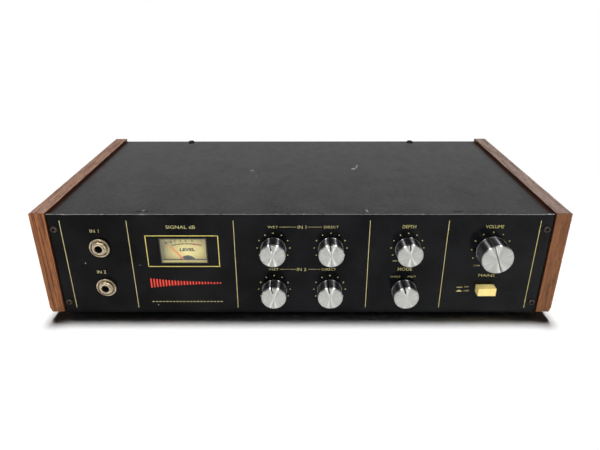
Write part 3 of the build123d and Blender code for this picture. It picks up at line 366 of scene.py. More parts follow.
# Specks of bare metal on the face: place, half-sizes and strength
specks = ((-182.9, 55.8, 0.4, 0.8, 0.8), (-136.6, 53.9, 1.8, 0.5, 0.12), (-125.3, 14.0, 0.6, 0.6, 0.8))
for x, z, half_x, half_z, amount in specks:
    place, reach = (x * MM, panel_face, z * MM), (half_x * MM, MM, half_z * MM)
    face_colour = panel.blot(face_colour, bare_metal, place, reach, amount)
panel.set("Base Color", face_colour)
sheen = panel.span(panel_spot["X"], 0.0, panel_high.x, middle_sheen, right_sheen)
panel.set("Specular IOR Level", sheen)
panel.bump(panel.noise(0.6 * MM), 0.01 * MM, 0.4)
panel.dress("front_panel")

# Printing on the panel: gold screen ink for the meter's frame, a paler one for the legends, dots and dividing
# lines, and red ink for the badge. Each mark is a film of ink that lies on the paint.
ink_film, ink_wear = 0.03 * MM, 1.6 * MM
gold_ink = Finish("gold_ink", specular=0.3)
gold_ink.spots(ink_wear, (196, 180, 90), (226, 210, 116), detail=4.0)
red_ink = Finish("red_ink", specular=0.35)
red_ink.spots(ink_wear, (214, 56, 42), (242, 78, 58), detail=4.0)
pale_ink = Finish("pale_ink", specular=0.3)
pale_wear = pale_ink.noise(ink_wear, detail=4.0)
pale_colour = pale_ink.ramp(pale_wear, [(0.3, (190, 181, 128)), (0.7, (216, 207, 152))])
rightward = pale_ink.span(pale_ink.axes()["X"], panel_low.x, panel_high.x, last=0.6)
pale_ink.set("Base Color", pale_ink.mix(rightward, pale_colour, (204, 191, 104)))

upright_turn = Matrix.Rotation(radians(90), 4, "X")


def put(name, data):
    """A new object in the scene."""
    thing = bpy.data.objects.new(name, data)
    scene.collection.objects.link(thing)
    return thing


def add_piece(name, mesh, finish, body="cabinet"):
    """A finished piece at the origin, riding on a body of the frame. Without a finish it keeps its own."""
    piece = put(name, mesh)
    mesh.name = name
    if finish:
        mesh.materials.clear()
        mesh.materials.append(finish.material)
    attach(piece, body)
    return piece


def as_mesh(shape):
    """The mesh of a shape, which is then freed."""
    mesh = bpy.data.meshes.new("shape")
    shape.to_mesh(mesh)
    shape.free()
    return mesh


def settled(thing):
    """The mesh that an object comes to after its modifiers; the object is removed."""
    mesh = bpy.data.meshes.new_from_object(thing.evaluated_get(bpy.context.evaluated_depsgraph_get()))
    bpy.data.objects.remove(thing)
    return mesh


def joined(meshes):
    """One mesh from several."""
    whole = bmesh.new()
    for mesh in meshes:
        whole.from_mesh(mesh)
        bpy.data.meshes.remove(mesh)
    return as_mesh(whole)


def flat_text(words, cap_height, width=None, weight=0.0):
    """Lettering as a thin film in the XY plane, centred; a width draws it out, a weight thickens it."""
    curve = bpy.data.curves.new("lettering", "FONT")
    curve.body = words
    curve.extrude = ink_film / 2
    curve.offset = weight
    curve.resolution_u = 3
    mesh = settled(put("lettering", curve))
    bpy.data.curves.remove(curve)
    capital = 0.73  # the height of a capital at a text size of 1
    scale = cap_height * MM / capital
    left, right = min(v.co.x for v in mesh.vertices), max(v.co.x for v in mesh.vertices)
    stretch = width * MM / (right - left) if width else scale
    mesh.transform(Matrix.Translation((-(left + right) / 2 * stretch, -cap_height * MM / 2, 0))
                   @ Matrix.Diagonal((stretch, scale, 1, 1)))
    return mesh


def flat_bar(width, height):
    """A plain bar of ink in the XY plane, centred on the origin, in millimetres."""
    bar = bmesh.new()
    bmesh.ops.create_cube(bar, size=1.0, matrix=Matrix.Diagonal((width * MM, height * MM, ink_film, 1)))
    return as_mesh(bar)


def stamped(mesh, x, z):
    """Lays a flat mark on the panel: x from the panel's middle and z above its lower edge, in millimetres."""
    place = (x * MM, panel_face - ink_film / 2, panel_low.z + z * MM)
    mesh.transform(Matrix.Translation(place) @ upright_turn)
    return mesh


def bar_at(x, z, width, height):
    """A plain bar of ink on the panel."""
    return stamped(flat_bar(width, height), x, z)


def mark_arc_tree():
    """A Geometry Nodes tree: small bars or dots on an arc, each turned to follow it."""
    tree = bpy.data.node_groups.new("mark_arc", "GeometryNodeTree")
    given_kinds = {
        "Radius": "Float", "Count": "Int", "Start": "Float", "Sweep": "Float",
        "Mark": "Vector", "Round": "Bool"}
    for label, kind in given_kinds.items():
        tree.interface.new_socket(label, in_out="INPUT", socket_type="NodeSocket" + kind)
    tree.interface.new_socket("Geometry", in_out="OUTPUT", socket_type="NodeSocketGeometry")

    def node(kind, inputs=None, **settings):
        return add_node(tree, kind, inputs, **settings)

    given = node("NodeGroupInput").outputs
    arc = node("GeometryNodeCurveArc", {
        "Resolution": given["Count"], "Radius": given["Radius"], "Start Angle": given["Start"],
        "Sweep Angle": given["Sweep"]}, mode="RADIUS")
    points = node("GeometryNodeCurveToPoints", {"Curve": arc.outputs["Curve"]}, mode="EVALUATED").outputs
    bar = node("GeometryNodeMeshCube", {"Size": given["Mark"]})
    sizes = node("ShaderNodeSeparateXYZ", {"Vector": given["Mark"]}).outputs
    half = node("ShaderNodeMath", {0: sizes["X"], 1: 0.5}, operation="MULTIPLY").outputs[0]
    dot = node("GeometryNodeMeshCylinder", {"Vertices": 20, "Radius": half, "Depth": sizes["Z"]})
    choice = {"Switch": given["Round"], "False": bar.outputs["Mesh"], "True": dot.outputs["Mesh"]}
    shape = node("GeometryNodeSwitch", choice, input_type="GEOMETRY")
    tangents = node("ShaderNodeSeparateXYZ", {"Vector": points["Tangent"]}).outputs
    turn = node("ShaderNodeMath", {0: tangents["Y"], 1: tangents["X"]}, operation="ARCTAN2").outputs[0]
    copies = node("GeometryNodeInstanceOnPoints", {
        "Points": points["Points"], "Instance": shape.outputs["Output"],
        "Rotation": node("ShaderNodeCombineXYZ", {"Z": turn}).outputs["Vector"]})
    solid = node("GeometryNodeRealizeInstances", {"Geometry": copies.outputs["Instances"]})
    node("NodeGroupOutput", {"Geometry": solid.outputs["Geometry"]})
    return tree


mark_arc = mark_arc_tree()


def arc_of_marks(radius, count, first, last, mark, round_marks):
    """Flat marks on an arc between two angles clockwise from upright, in millimetres and degrees."""
    settings = {
        "Radius": radius * MM, "Count": count, "Start": radians(90 - last), "Sweep": radians(last - first),
        "Mark": [mark[0] * MM, mark[1] * MM, ink_film], "Round": round_marks}
    holder = put("marks", bpy.data.meshes.new("marks"))
    growth = holder.modifiers.new("growth", "NODES")
    growth.node_group = mark_arc
    for item in mark_arc.interface.items_tree:
        if item.name in settings:
            growth[item.identifier] = settings[item.name]
    return settled(holder)


line_width, divider_width, lead_width = 0.7, 0.47, 0.24
divider_columns = (-198.0, -143.0, -55.0, 57.6, 122.4, 197.7)
divider_low, divider_high = 5.1, 89.5
middle, height = (divider_high + divider_low) / 2, divider_high - divider_low
pale_marks = [bar_at(column, middle, divider_width, height) for column in divider_columns]

# The frame line round the meter, and a dashed rule low on the panel
frame_left, frame_right, frame_low, frame_high = -129.2, -68.65, 46.6, 75.6
dash_count, dash_pitch, dash_rise, dash_length, dash_height = 21, 3.0, 11.3, 2.0, 0.66
middle, height = (frame_low + frame_high) / 2, frame_high - frame_low + line_width
gold_marks = [bar_at(x, middle, line_width, height) for x in (frame_left, frame_right)]
middle, width = (frame_left + frame_right) / 2, frame_right - frame_left
gold_marks += [bar_at(middle, z, width, line_width) for z in (frame_low, frame_high)]
for step in range(dash_count):
    pale_marks.append(bar_at(frame_left + step * dash_pitch, dash_rise, dash_length, dash_height))

# Dots round the controls that turn through ten steps; a word stands for the first dot of two of them
dot_size = 1.0
dot_sweep, dot_pitch = 150, 30
small_ring, master_ring = 13.7, 16.3
for control in ("mic_echo", "mic_normal", "line_echo", "line_normal", "echo", "master"):
    low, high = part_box(control + "_shaft")
    ring = master_ring if control == "master" else small_ring
    first = -dot_sweep + dot_pitch if control in ("echo", "master") else -dot_sweep
    count = (dot_sweep - first) // dot_pitch + 1
    dots = arc_of_marks(ring, count, first, dot_sweep, (dot_size, dot_size), True)
    pale_marks.append(stamped(dots, (low.x + high.x) / 2 / MM, ((low.z + high.z) / 2 - panel_low.z) / MM))

# Legends: words, left and right ends, height above the panel's lower edge and height of the capitals
legend_weight = -0.012
legends = [
    ("IN 1", -174.2, -167.0, 80.1, 3.2), ("IN 2", -174.4, -166.8, 41.3, 3.2),
    ("SIGNAL dB", -111.0, -86.7, 83.7, 3.2),
    ("WET", -26.7, -18.3, 83.7, 2.3), ("IN 1", -1.9, 5.0, 83.7, 3.1), ("DIRECT", 19.7, 31.8, 83.7, 2.3),
    ("WET", -26.9, -18.5, 43.8, 2.3), ("IN 2", -2.7, 5.2, 43.8, 3.1), ("DIRECT", 18.5, 30.7, 43.8, 2.3),
    ("DEPTH", 84.5, 95.5, 84.1, 3.1), ("MODE", 83.6, 95.6, 44.0, 3.1), ("SINGLE", 77.4, 86.0, 36.7, 1.6),
    ("MULTI", 92.8, 99.3, 36.7, 1.6), ("MIN", 78.8, 83.6, 52.0, 1.4), ("VOLUME", 153.1, 168.0, 84.1, 3.2),
    ("MIN", 148.0, 152.8, 47.5, 1.4), ("MAINS", 153.3, 167.1, 37.9, 2.8), ("ON", 142.6, 146.2, 26.5, 1.5),
    ("OFF", 142.4, 147.0, 22.4, 1.5),
]
for words, left, right, z, cap_height in legends:
    legend = flat_text(words, cap_height, right - left, legend_weight)
    pale_marks.append(stamped(legend, (left + right) / 2, z))
# Lines that join the words over the square group, and signs for the button in and out
leads = ((-10.2, 83.7, 13.8), (12.0, 83.7, 11.7), (-10.5, 43.8, 13.8), (12.1, 43.8, 10.6))
signs = ((138.4, 26.0, 4.9, 0.6), (138.4, 21.9, 4.9, 0.6), (138.4, 22.7, 2.4, 1.0))
pale_marks += [bar_at(*lead, lead_width) for lead in leads] + [bar_at(*sign) for sign in signs]
add_piece("gold_print", joined(gold_marks), gold_ink)
add_piece("pale_print", joined(pale_marks), pale_ink)

# Red badge: one row of bars that shorten as the repeats of a sound fade
badge_left, badge_middle, badge_height = -129.0, 30.2, 9.4
bar_pitch, bar_count, bar_width, bars_to_fade = 2.6, 24, 1.25, 12
red_marks = []
for step in range(bar_count):
    height = badge_height * exp(-step / bars_to_fade)
    red_marks.append(bar_at(badge_left + step * bar_pitch, badge_middle, bar_width, height))
add_piece("red_print", joined(red_marks), red_ink)


# Phone jacks: a dished nickel-plated washer, a round nut and the rolled lip of the bush, all worn to a warm
# grey. The moulded socket behind them is black, so the bore looks dark.
def lathe(profile, segments):
    """A closed turned shape about +Z from (radius, height) points in millimetres."""
    shape = bmesh.new()
    rows = []
    for radius, height in profile:
        if radius == 0:
            rows.append([shape.verts.new((0, 0, height * MM))])
        else:
            rows.append([
                shape.verts.new((radius * MM * cos(a), radius * MM * sin(a), height * MM))
                for a in (2 * pi * i / segments for i in range(segments))])
    pairs = list(zip(rows, rows[1:]))
    if len(rows[0]) > 1 and len(rows[-1]) > 1:
        pairs.append((rows[-1], rows[0]))
    for lower, upper in pairs:
        for i in range(segments):
            j = (i + 1) % segments
            corners = [
                lower[i % len(lower)], lower[j % len(lower)], upper[j % len(upper)], upper[i % len(upper)]]
            shape.faces.new(list(dict.fromkeys(corners)))
    bmesh.ops.recalc_face_normals(shape, faces=shape.faces)
    return as_mesh(shape)


def smooth(mesh, angle=32):
    """Smooth faces, with sharp edges at turns of more than the angle."""
    mesh.polygons.foreach_set("use_smooth", [True] * len(mesh.polygons))
    mesh.set_sharp_from_angle(angle=radians(angle))
    return mesh


mounts = frame["record"]["mounts"]
front_jacks = [mount["pos_m"] for mount in mounts if mount["name"].startswith("input_jack")]
rear_jacks = [mount["pos_m"] for mount in mounts if mount["name"] in ("output_jack", "foot_switch_jack")]
nickel = Finish("nickel_with_painted_light", metallic=1.0)
tarnish = nickel.noise(1.4 * MM, detail=4.0)
plating = nickel.ramp(tarnish, [(0.3, (152, 137, 112)), (0.7, (218, 205, 180))])
# Painted light on the front washers: bright towards two sides, and between these their slopes painted dark as
# shade
lower_jack, upper_jack = sorted(place[2] for place in front_jacks)
jack_spot = nickel.axes()
beside = nickel.math("SUBTRACT", jack_spot["X"], front_jacks[0][0])
on_upper = nickel.over(jack_spot["Z"], (lower_jack + upper_jack) / 2)
jack_middle = nickel.math("ADD", nickel.times(on_upper, upper_jack - lower_jack), lower_jack)
above = nickel.math("SUBTRACT", jack_spot["Z"], jack_middle)
from_axis = nickel.distance(beside, above)
diagonal = nickel.times(from_axis, sqrt(2))
sideways = nickel.math("DIVIDE", nickel.math("ADD", beside, above), diagonal)
painted_dark_sides = nickel.ramp(nickel.math("ABSOLUTE", sideways), [(0.62, 0.0), (0.95, 0.9)])
shaded_slope_bands = nickel.ramp(nickel.math("DIVIDE", from_axis, 10 * MM), [
    (0.62, 0.0), (0.64, 1.0), (0.73, 1.0), (0.77, 0.35), (0.81, 0.35), (0.83, 1.0)])
nickel.set("Base Color", nickel.mix(nickel.times(painted_dark_sides, shaded_slope_bands), plating, (46, 38, 29)))
nickel.polish(tarnish, 0.38, 0.28)
black_plastic = Finish("black_moulding", specular=0.4)
moulding = black_plastic.spots(0.8 * MM, (16, 16, 16), (30, 30, 30), ends=(0.3, 0.75))
black_plastic.bump(moulding, 0.02 * MM, 0.5)
black_plastic.dress("jack_sockets")

washer_profile = (
    (4.95, 0.0), (7.65, 0.0), (8.3, 1.45), (8.5, 1.8), (8.42, 2.15), (8.1, 2.37), (7.75, 2.4), (7.4, 2.25),
    (7.1, 1.8), (6.55, 1.0), (6.46, 0.9), (4.95, 0.9))
nut_profile = ((4.8, 0.9), (6.1, 0.9), (6.1, 2.9), (5.95, 3.3), (5.5, 3.65), (5.25, 3.7), (4.8, 3.7))
lip_profile = (
    (3.2, 3.0), (4.79, 3.0), (4.79, 4.5), (4.7, 4.64), (4.5, 4.7), (3.6, 4.7), (3.36, 4.63), (3.2, 4.4))
jack_sides, knob_sides, floor_sides = 72, 128, 96
rear_turn = Matrix.Rotation(radians(180), 4, "Z") @ upright_turn
jack_places = [Matrix.Translation(p) @ upright_turn for p in front_jacks]
jack_places += [Matrix.Translation(p) @ rear_turn for p in rear_jacks]


def on_jacks(profile):
    """The same turned piece on every jack, as one smooth mesh."""
    copies = [lathe(profile, jack_sides) for _ in jack_places]
    for copy, place in zip(copies, jack_places):
        copy.transform(place)
    return smooth(joined(copies))


jack_washers = add_piece("jack_dished_washers", on_jacks(washer_profile), nickel)
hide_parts("jack_washers")
jack_nuts = add_piece("jack_round_nuts", on_jacks(nut_profile), nickel)
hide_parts("jack_nuts")
add_piece("jack_bush_lips", on_jacks(lip_profile), nickel)

# Level meter: a pale moulded case with a clear window, a printed cream dial, an orange needle and a dark
# cover over its hub. The dial is painted palest a little above the pivot and darker towards its edges, a
# painted shade of the window's walls.
dial_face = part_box("meter_dial")[0].y
pivot = Vector(joints["needle_swing"]["pos_m"])
casing = Finish("pale_moulding", specular=0.4)
pale_spots = casing.noise(3 * MM, detail=4.0)
case_and_highlight = casing.ramp(pale_spots, [(0.3, (138, 136, 114)), (0.7, (160, 158, 134))])
front_rim = casing.math("LESS_THAN", casing.axes()["Y"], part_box("meter_case")[0].y + 0.1 * MM)
# Painted highlight: upward faces, such as the ledge under the dial, are pale cream where light falls
lit_upward_faces = casing.over(casing.axes("Normal")["Z"], square_on)
case_and_highlight = casing.mix(lit_upward_faces, case_and_highlight, (214, 203, 140))
casing.set("Base Color", casing.mix(front_rim, case_and_highlight, (52, 51, 44)))
casing.dress("meter_case")

dial = Finish("dial_paint", 0.6, specular=0.3)
# Painted shade: palest a little above the pivot, darker towards the window's walls
lit_rise, lit_reach = 8 * MM, 26 * MM  # the palest place's height above the pivot, and its reach
dial_spot = dial.mapped(dial.place(), location=(-pivot.x, 0.0, -(pivot.z + lit_rise)))
from_lit_middle = dial.math("DIVIDE", dial.length(dial.mapped(dial_spot, scale=(1, 0, 1.2))), lit_reach)
dial.set("Base Color", dial.ramp(from_lit_middle, [
    (0.1, (250, 236, 160)), (0.45, (226, 210, 134)), (0.8, (170, 157, 101))]))
dial.dress("meter_dial")

needle = Finish("needle_paint", 0.45, specular=0.3)
needle.spots(2 * MM, (252, 136, 76), (255, 158, 100), detail=2.0)
needle.dress("meter_needle")

hub = Finish("hub_cover_painted_streaks", 0.35)
# Pale upright streaks: painted reflections on the dark plastic
hub.spots(1.2 * MM, (40, 40, 40), (86, 85, 80), (1, 1, 12), 2.0)
hub.dress("meter_hub_cover")

window = Finish("clear_window", colour=(236, 240, 236))
window.shader.inputs["Alpha"].default_value = 0.06
window.polish(window.noise(12 * MM, detail=2.0), 0.05, 0.09)
window.dress("meter_window")

lamp_glass = Finish("lamp_glass", 0.1)
lamp_glass.shader.inputs["Alpha"].default_value = 0.4
lamp_glass.spots(3 * MM, (236, 230, 204), (248, 246, 230))
lamp_glass.dress("meter_lamp")

brass = Finish("turned_brass", metallic=1.0, colour=(196, 164, 92))
brass.polish(brass.noise(0.6 * MM, (6, 1, 6), 2.0), 0.38, 0.24)
brass.dress("meter_arbor")

dark_iron = Finish("dark_iron", metallic=0.9)
dark_iron.spots(0.5 * MM, (44, 44, 46), (84, 84, 86), (60, 1, 60), 1.0, (0.35, 0.65))
dark_iron.dress("meter_magnet", "transformer_core")

# Printing on the dial: a black scale with figures, and a red stretch at its loud end. The black ink also
# draws a painted shadow line at the window's foot
dial_ink_wear = 0.8 * MM
dial_black = Finish("dial_ink_and_shadow_line", 0.6, specular=0.3)
dial_black.spots(dial_ink_wear, (36, 33, 27), (60, 55, 45))
dial_red = Finish("dial_red_ink", 0.6, specular=0.3)
dial_red.spots(dial_ink_wear, (164, 52, 46), (190, 72, 62))
scale_radius, scale_rise, scale_half = 50.0, 18.4, 14.6  # a flat arc, its middle this far above the pivot
red_start = 5.0  # degrees clockwise from upright
scale_line, red_line = 0.75, 1.1
tick_count, tick_width, tick_length = 9, 0.5, 1.2
figure_rise, figure_height, figure_weight = 21.4, 2.1, 0.03
word_height, word_width, word_weight, word_rise = 2.7, 13.4, 0.05, 13.0
# A painted shadow: a dark line at the window's foot, part of the way forward from the dial
shadow_line_height, shadow_line_share = 1.8, 0.38  # a dark line at the window's foot, part of the way forward from the dial


def on_dial(mesh, x=0.0, z=0.0):
    """Lays a flat mark on the dial, at a place from the needle's pivot."""
    place = (pivot.x + x * MM, dial_face - ink_film / 2, pivot.z + z * MM)
    mesh.transform(Matrix.Translation(place) @ upright_turn)
    return mesh


def tube(rings):
    """A closed mesh through rings of points, with a flat cap at each end."""
    shape = bmesh.new()
    rings = [[shape.verts.new(point) for point in ring] for ring in rings]
    for one, two in zip(rings, rings[1:]):
        for i in range(len(one)):
            j = (i + 1) % len(one)
            shape.faces.new((one[i], one[j], two[j], two[i]))
    shape.faces.new(rings[0])
    shape.faces.new(rings[-1])
    bmesh.ops.recalc_face_normals(shape, faces=shape.faces)
    return as_mesh(shape)


def arc_band(radius, first, last, width):
    """A band of ink on an arc round the origin, between two angles clockwise from upright."""
    inner, outer, half_film = radius - width / 2, radius + width / 2, ink_film / 2
    section = ((inner, -half_film), (outer, -half_film), (outer, half_film), (inner, half_film))
    steps = max(2, int(abs(last - first)))
    angles = [radians(first + (last - first) * step / steps) for step in range(steps + 1)]
    return tube([[(r * MM * sin(a), r * MM * cos(a), z) for r, z in section] for a in angles])


arc_drop = scale_rise - scale_radius
black_scale_and_shadow = [on_dial(arc_band(scale_radius, -scale_half, red_start, scale_line), 0, arc_drop)]
tick_radius, tick = scale_radius + tick_length / 2, (tick_width, tick_length)
ticks = arc_of_marks(tick_radius, tick_count, -scale_half, scale_half, tick, False)
black_scale_and_shadow.append(on_dial(ticks, 0, arc_drop))
for figure, x in (("20", -17.6), ("10", -13.6), ("7", -9.6), ("5", -5.0), ("3", -0.6), ("0", 4.9)):
    mark = flat_text(figure, figure_height, weight=figure_weight)
    black_scale_and_shadow.append(on_dial(mark, x, figure_rise - x * x / 160))
black_scale_and_shadow.append(on_dial(flat_text("LEVEL", word_height, word_width, word_weight), 0.4, word_rise))
window_low, window_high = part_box("meter_window")
# The painted shadow line along the window's foot
shadow_line = flat_bar((window_high.x - window_low.x) / MM, shadow_line_height)
shadow_line_back = dial_face - shadow_line_share * (dial_face - window_high.y)
shadow_line_place = ((window_low.x + window_high.x) / 2, shadow_line_back, window_low.z + ink_film)
shadow_line.transform(Matrix.Translation(shadow_line_place))
black_scale_and_shadow.append(shadow_line)
add_piece("dial_scale_and_shadow_line", joined(black_scale_and_shadow), dial_black)

red_scale = [on_dial(arc_band(scale_radius, red_start, scale_half, red_line), 0, arc_drop)]
red_scale.append(on_dial(flat_text("3", figure_height), 12.9, figure_rise - 1.0))
add_piece("dial_red_scale", joined(red_scale), dial_red)


# Knobs: turned from aluminium bar, with fine tool marks round the side and face, a polished lip at the back
# and a filled slot for a pointer. They push onto flatted steel shafts.
slot_depth = 0.7
lip_height, lip_reach = 0.8, 0.2
rim_bevel, lip_bevel = 0.8, 0.1
recess_radius, recess_depth = 8.2, 3.0
tool_pitch, ray_width = 0.22 * MM, 0.09  # the second as a share of the radius


def turned_aluminium(name, centre, back):
    """Aluminium with the marks of a lathe tool round a knob's own axis; its sides are painted darker, as
    shade.
    """
    finish = Finish(name, metallic=1.0)
    own = finish.mapped(finish.place(), location=(-centre.x, 0, -centre.z))
    flat = finish.mapped(own, scale=(1, 0, 1))
    depth = finish.axes()["Y"]
    tool_place = finish.node("CombineXYZ", {"X": finish.length(flat), "Y": depth}).outputs["Vector"]
    rings = finish.noise(tool_pitch, detail=2.0, vector=tool_place)
    outwards = finish.node("VectorMath", {0: flat}, operation="NORMALIZE").outputs["Vector"]
    rays = finish.noise(ray_width, vector=outwards)
    before_lip = finish.math("LESS_THAN", depth, back - lip_height * MM)
    off_face = finish.over(finish.axes("Normal")["Y"], -0.5)
    on_side = finish.times(off_face, before_lip)
    bright = finish.ramp(rays, [
        (0.3, (174, 174, 169)), (0.55, (199, 199, 195)), (0.75, (219, 219, 215))])
    # Painted shade on the sides: a darker grey, and a dark specular tint that dims their reflection
    shaded_side = finish.ramp(rings, [(0.3, (107, 108, 110)), (0.7, (123, 124, 126))])
    finish.set("Base Color", finish.mix(on_side, bright, shaded_side))
    finish.set("Specular Tint", finish.mix(on_side, (255, 255, 255), (70, 70, 70)))
    finish.polish(rings, 0.37, 0.33)
    finish.shader.inputs["Anisotropic"].default_value = 1.0
    finish.shader.inputs["Anisotropic Rotation"].default_value = 0.25
    finish.set("Tangent", finish.node("Tangent", direction_type="RADIAL", axis="Y").outputs["Tangent"])
    return finish


slot_dust = 0.5 * MM
slot_black = Finish("pointer_black", 0.6, specular=0.3)
slot_black.spots(slot_dust, (16, 15, 15), (40, 37, 35), ends=(0.3, 0.75))
slot_grey = Finish("pointer_grey", 0.6, specular=0.3)
slot_grey.spots(slot_dust, (92, 90, 87), (120, 118, 113), ends=(0.3, 0.75))
pointer_angles = {
    "mic_echo": -13, "mic_normal": -6, "line_echo": -11, "line_normal": -10,
    "echo": -5, "phase": -15, "master": -20}


def slot_cutter(radius, length, inner, slot_width):
    """Two bars that cut a knob's pointer, down its side and across its face from the rim."""
    bars = bmesh.new()
    spill, half = 2.0, slot_width / 2
    for low, high in (
        ((-half, radius - slot_depth, -spill), (half, radius + spill, length + spill)),
        ((-half, inner, length - slot_depth), (half, radius + spill / 2, length + spill / 2)),
    ):
        middle = [(a + b) / 2 * MM for a, b in zip(low, high)]
        size = [(b - a) * MM for a, b in zip(low, high)]
        bmesh.ops.create_cube(bars, size=1.0, matrix=Matrix.Translation(middle) @ Matrix.Diagonal((*size, 1)))
    return as_mesh(bars)


def knob_mesh(radius, length, pointer_inner, slot_width, finish, slot_finish):
    """A turned knob about +Z with its back at the origin and its pointer slot towards +Y."""
    lip = radius + lip_reach
    profile = (
        (0, recess_depth), (recess_radius, recess_depth), (recess_radius, lip_bevel),
        (recess_radius + lip_bevel, 0), (lip - lip_bevel, 0), (lip, lip_bevel),
        (lip, lip_height - 0.15), (lip - lip_bevel, lip_height),
        (radius, lip_height), (radius, length - rim_bevel), (radius - rim_bevel, length), (0, length))
    body = lathe(profile, knob_sides)
    body.materials.append(finish.material)
    body.materials.append(slot_finish.material)
    cutter = slot_cutter(radius, length, pointer_inner, slot_width)
    cutter.materials.append(slot_finish.material)
    whole, tool = put("knob", body), put("knob_cutter", cutter)
    cut = whole.modifiers.new("slot", "BOOLEAN")
    cut.operation = "DIFFERENCE"
    cut.solver = "EXACT"
    cut.material_mode = "TRANSFER"
    cut.use_self = True
    cut.object = tool
    mesh = settled(whole)
    bpy.data.objects.remove(tool)
    return smooth(mesh)


for control, angle in pointer_angles.items():
    low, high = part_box(control + "_knob")
    centre = (low + high) / 2
    outer = (high.x - low.x) / 2 / MM - lip_reach
    length = (high.y - low.y) / MM
    finish = turned_aluminium(control + "_aluminium", centre, high.y)
    if control == "master":  # a fine grey line across the face
        mesh = knob_mesh(outer, length, -0.9 * outer, 0.8, finish, slot_grey)
    else:
        mesh = knob_mesh(outer, length, 0.45 * outer, 1.1, finish, slot_black)
    mesh.transform(
        Matrix.Translation((centre.x, high.y, centre.z)) @ upright_turn
        @ Matrix.Rotation(radians(-angle), 4, "Z"))
    piece = add_piece(control + "_turned_knob", mesh, None, control + "_control")
    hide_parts(control + "_knob")

ground_steel = Finish("ground_steel", metallic=1.0, colour=(170, 170, 168))
ground_steel.polish(ground_steel.noise(0.4 * MM, (8, 1, 8), 2.0), 0.36, 0.24)
ground_steel.dress(*[control + "_shaft" for control in pointer_angles], "power_spring", "reverb_springs")
zinc.dress("pot_cases", "pot_washers", "pot_nuts")
black_plastic.dress("phase_switch_case")

# Power button: moulded cream plastic with rounded edges, on a black plunger that slides into the switch's
# case against a coil spring. A folded steel bracket holds the case.
cream = Finish("cream_moulding", 0.38, specular=0.45)
cream.spots(5 * MM, (242, 214, 128), (252, 230, 152))
cream.bump(cream.noise(0.5 * MM), 0.01 * MM, 0.5)
button_low, button_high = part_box("power_button")
button_round, round_steps = 0.55 * MM, 4
button_shape = bmesh.new()
bmesh.ops.create_cube(button_shape, size=1.0, matrix=Matrix.Translation((button_low + button_high) / 2)
                      @ Matrix.Diagonal((*(button_high - button_low), 1)))
rounded = [e for e in button_shape.edges if min(v.co.y for v in e.verts) < button_high.y - MM]
bmesh.ops.bevel(
    button_shape, geom=rounded, offset=button_round, segments=round_steps, profile=0.5, affect="EDGES")
button = add_piece("moulded_button", smooth(as_mesh(button_shape), 40), cream, "power_push")
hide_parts("power_button")
black_plastic.dress("power_plunger", "power_switch_case")
zinc.dress("power_switch_bracket")


def coil(radius, wire, start, length, turns):
    """A wire wound about +Y from a starting place, in metres."""
    steps, sides = 24, 8  # to a turn, and round the wire
    rings = []
    for step in range(turns * steps + 1):
        a = 2 * pi * step / steps
        outward = Vector((cos(a), 0, sin(a)))
        along = Vector((0, wire / 2 + (length - wire) * step / (turns * steps), 0))
        middle = start + along + outward * (radius - wire / 2)
        rings.append([
            middle + wire / 2 * (outward * cos(b) + Vector((0, sin(b), 0)))
            for b in (2 * pi * side / sides for side in range(sides))])
    return tube(rings)


# The return spring, wound from wire and fixed to the cabinet. On the real switch it shortens towards the back
# of the case as the button goes in; this coil keeps its length.
spring_low, spring_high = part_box("power_spring")
spring_length, spring_wire, spring_turns = spring_high.y - spring_low.y, 0.5 * MM, 7
spring_start = Vector(((spring_low.x + spring_high.x) / 2, spring_low.y, (spring_low.z + spring_high.z) / 2))
spring_mesh = coil((spring_high.x - spring_low.x) / 2, spring_wire, spring_start, spring_length, spring_turns)
spring = add_piece("wound_return_spring", smooth(spring_mesh), ground_steel)
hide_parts("power_spring")
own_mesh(spring)

# Rear fittings: a moulded fuse holder with its ribbed screw cap, and the gland for the mains lead. Each is a
# black moulding that sits in its own hole through the rear panel.
black_plastic.dress("fuse_holder", "fuse_cap", "mains_gland")

# Inside: a mains transformer with a taped winding, a circuit board of brown laminate with its capacitors,
# and a spring tank. The closed cabinet hides them.
tape = Finish("winding_tape", 0.45, specular=0.45)
tape.spots(7 * MM, (156, 120, 50), (194, 160, 82), (8, 8, 1), 2.0)
tape.dress("transformer_winding")
laminate = Finish("brown_laminate", specular=0.45)
laminate.spots(1.5 * MM, (108, 76, 40), (142, 106, 60), (6, 1, 1))
laminate.dress("circuit_board", "board_spacers")
zinc.dress("tank_pan")
black_plastic.dress("board_capacitors", "tank_transducers")

# Studio: a wide white floor with a low wall far off, in a dark room, and two long strip lights overhead that
# run from front to back and draw the knobs' bright streaks. A high lamp lights the floor, where the shadow
# falls.
camera_data = bpy.data.cameras.new("camera")
camera_data.sensor_width = 36.0
image_width, focal_pixels = 600, 526.9
camera_data.lens = camera_data.sensor_width * focal_pixels / image_width
camera_data.clip_start = 0.01
camera = put("camera", camera_data)
camera_offset = Vector((0.91 * MM, -391.6 * MM, 265.1 * MM))  # from the cheeks' lower front edges
camera.location = Vector((0, cheek_low.y, cheek_low.z)) + camera_offset
tilt, yaw, roll = radians(90 - 24.75), radians(0.15), radians(-0.07)
camera.rotation_euler = (
    Matrix.Rotation(yaw, 3, "Z") @ Matrix.Rotation(tilt, 3, "X") @ Matrix.Rotation(roll, 3, "Z")).to_euler()
scene.camera = camera


def background_rays(finish):
    """1 for rays that show the background: straight, mirrored or through glass."""
    rays = finish.node("LightPath").outputs
    direct = finish.math("MAXIMUM", rays["Is Camera Ray"], rays["Is Glossy Ray"])
    return finish.math("MAXIMUM", direct, rays["Is Transmission Ray"])


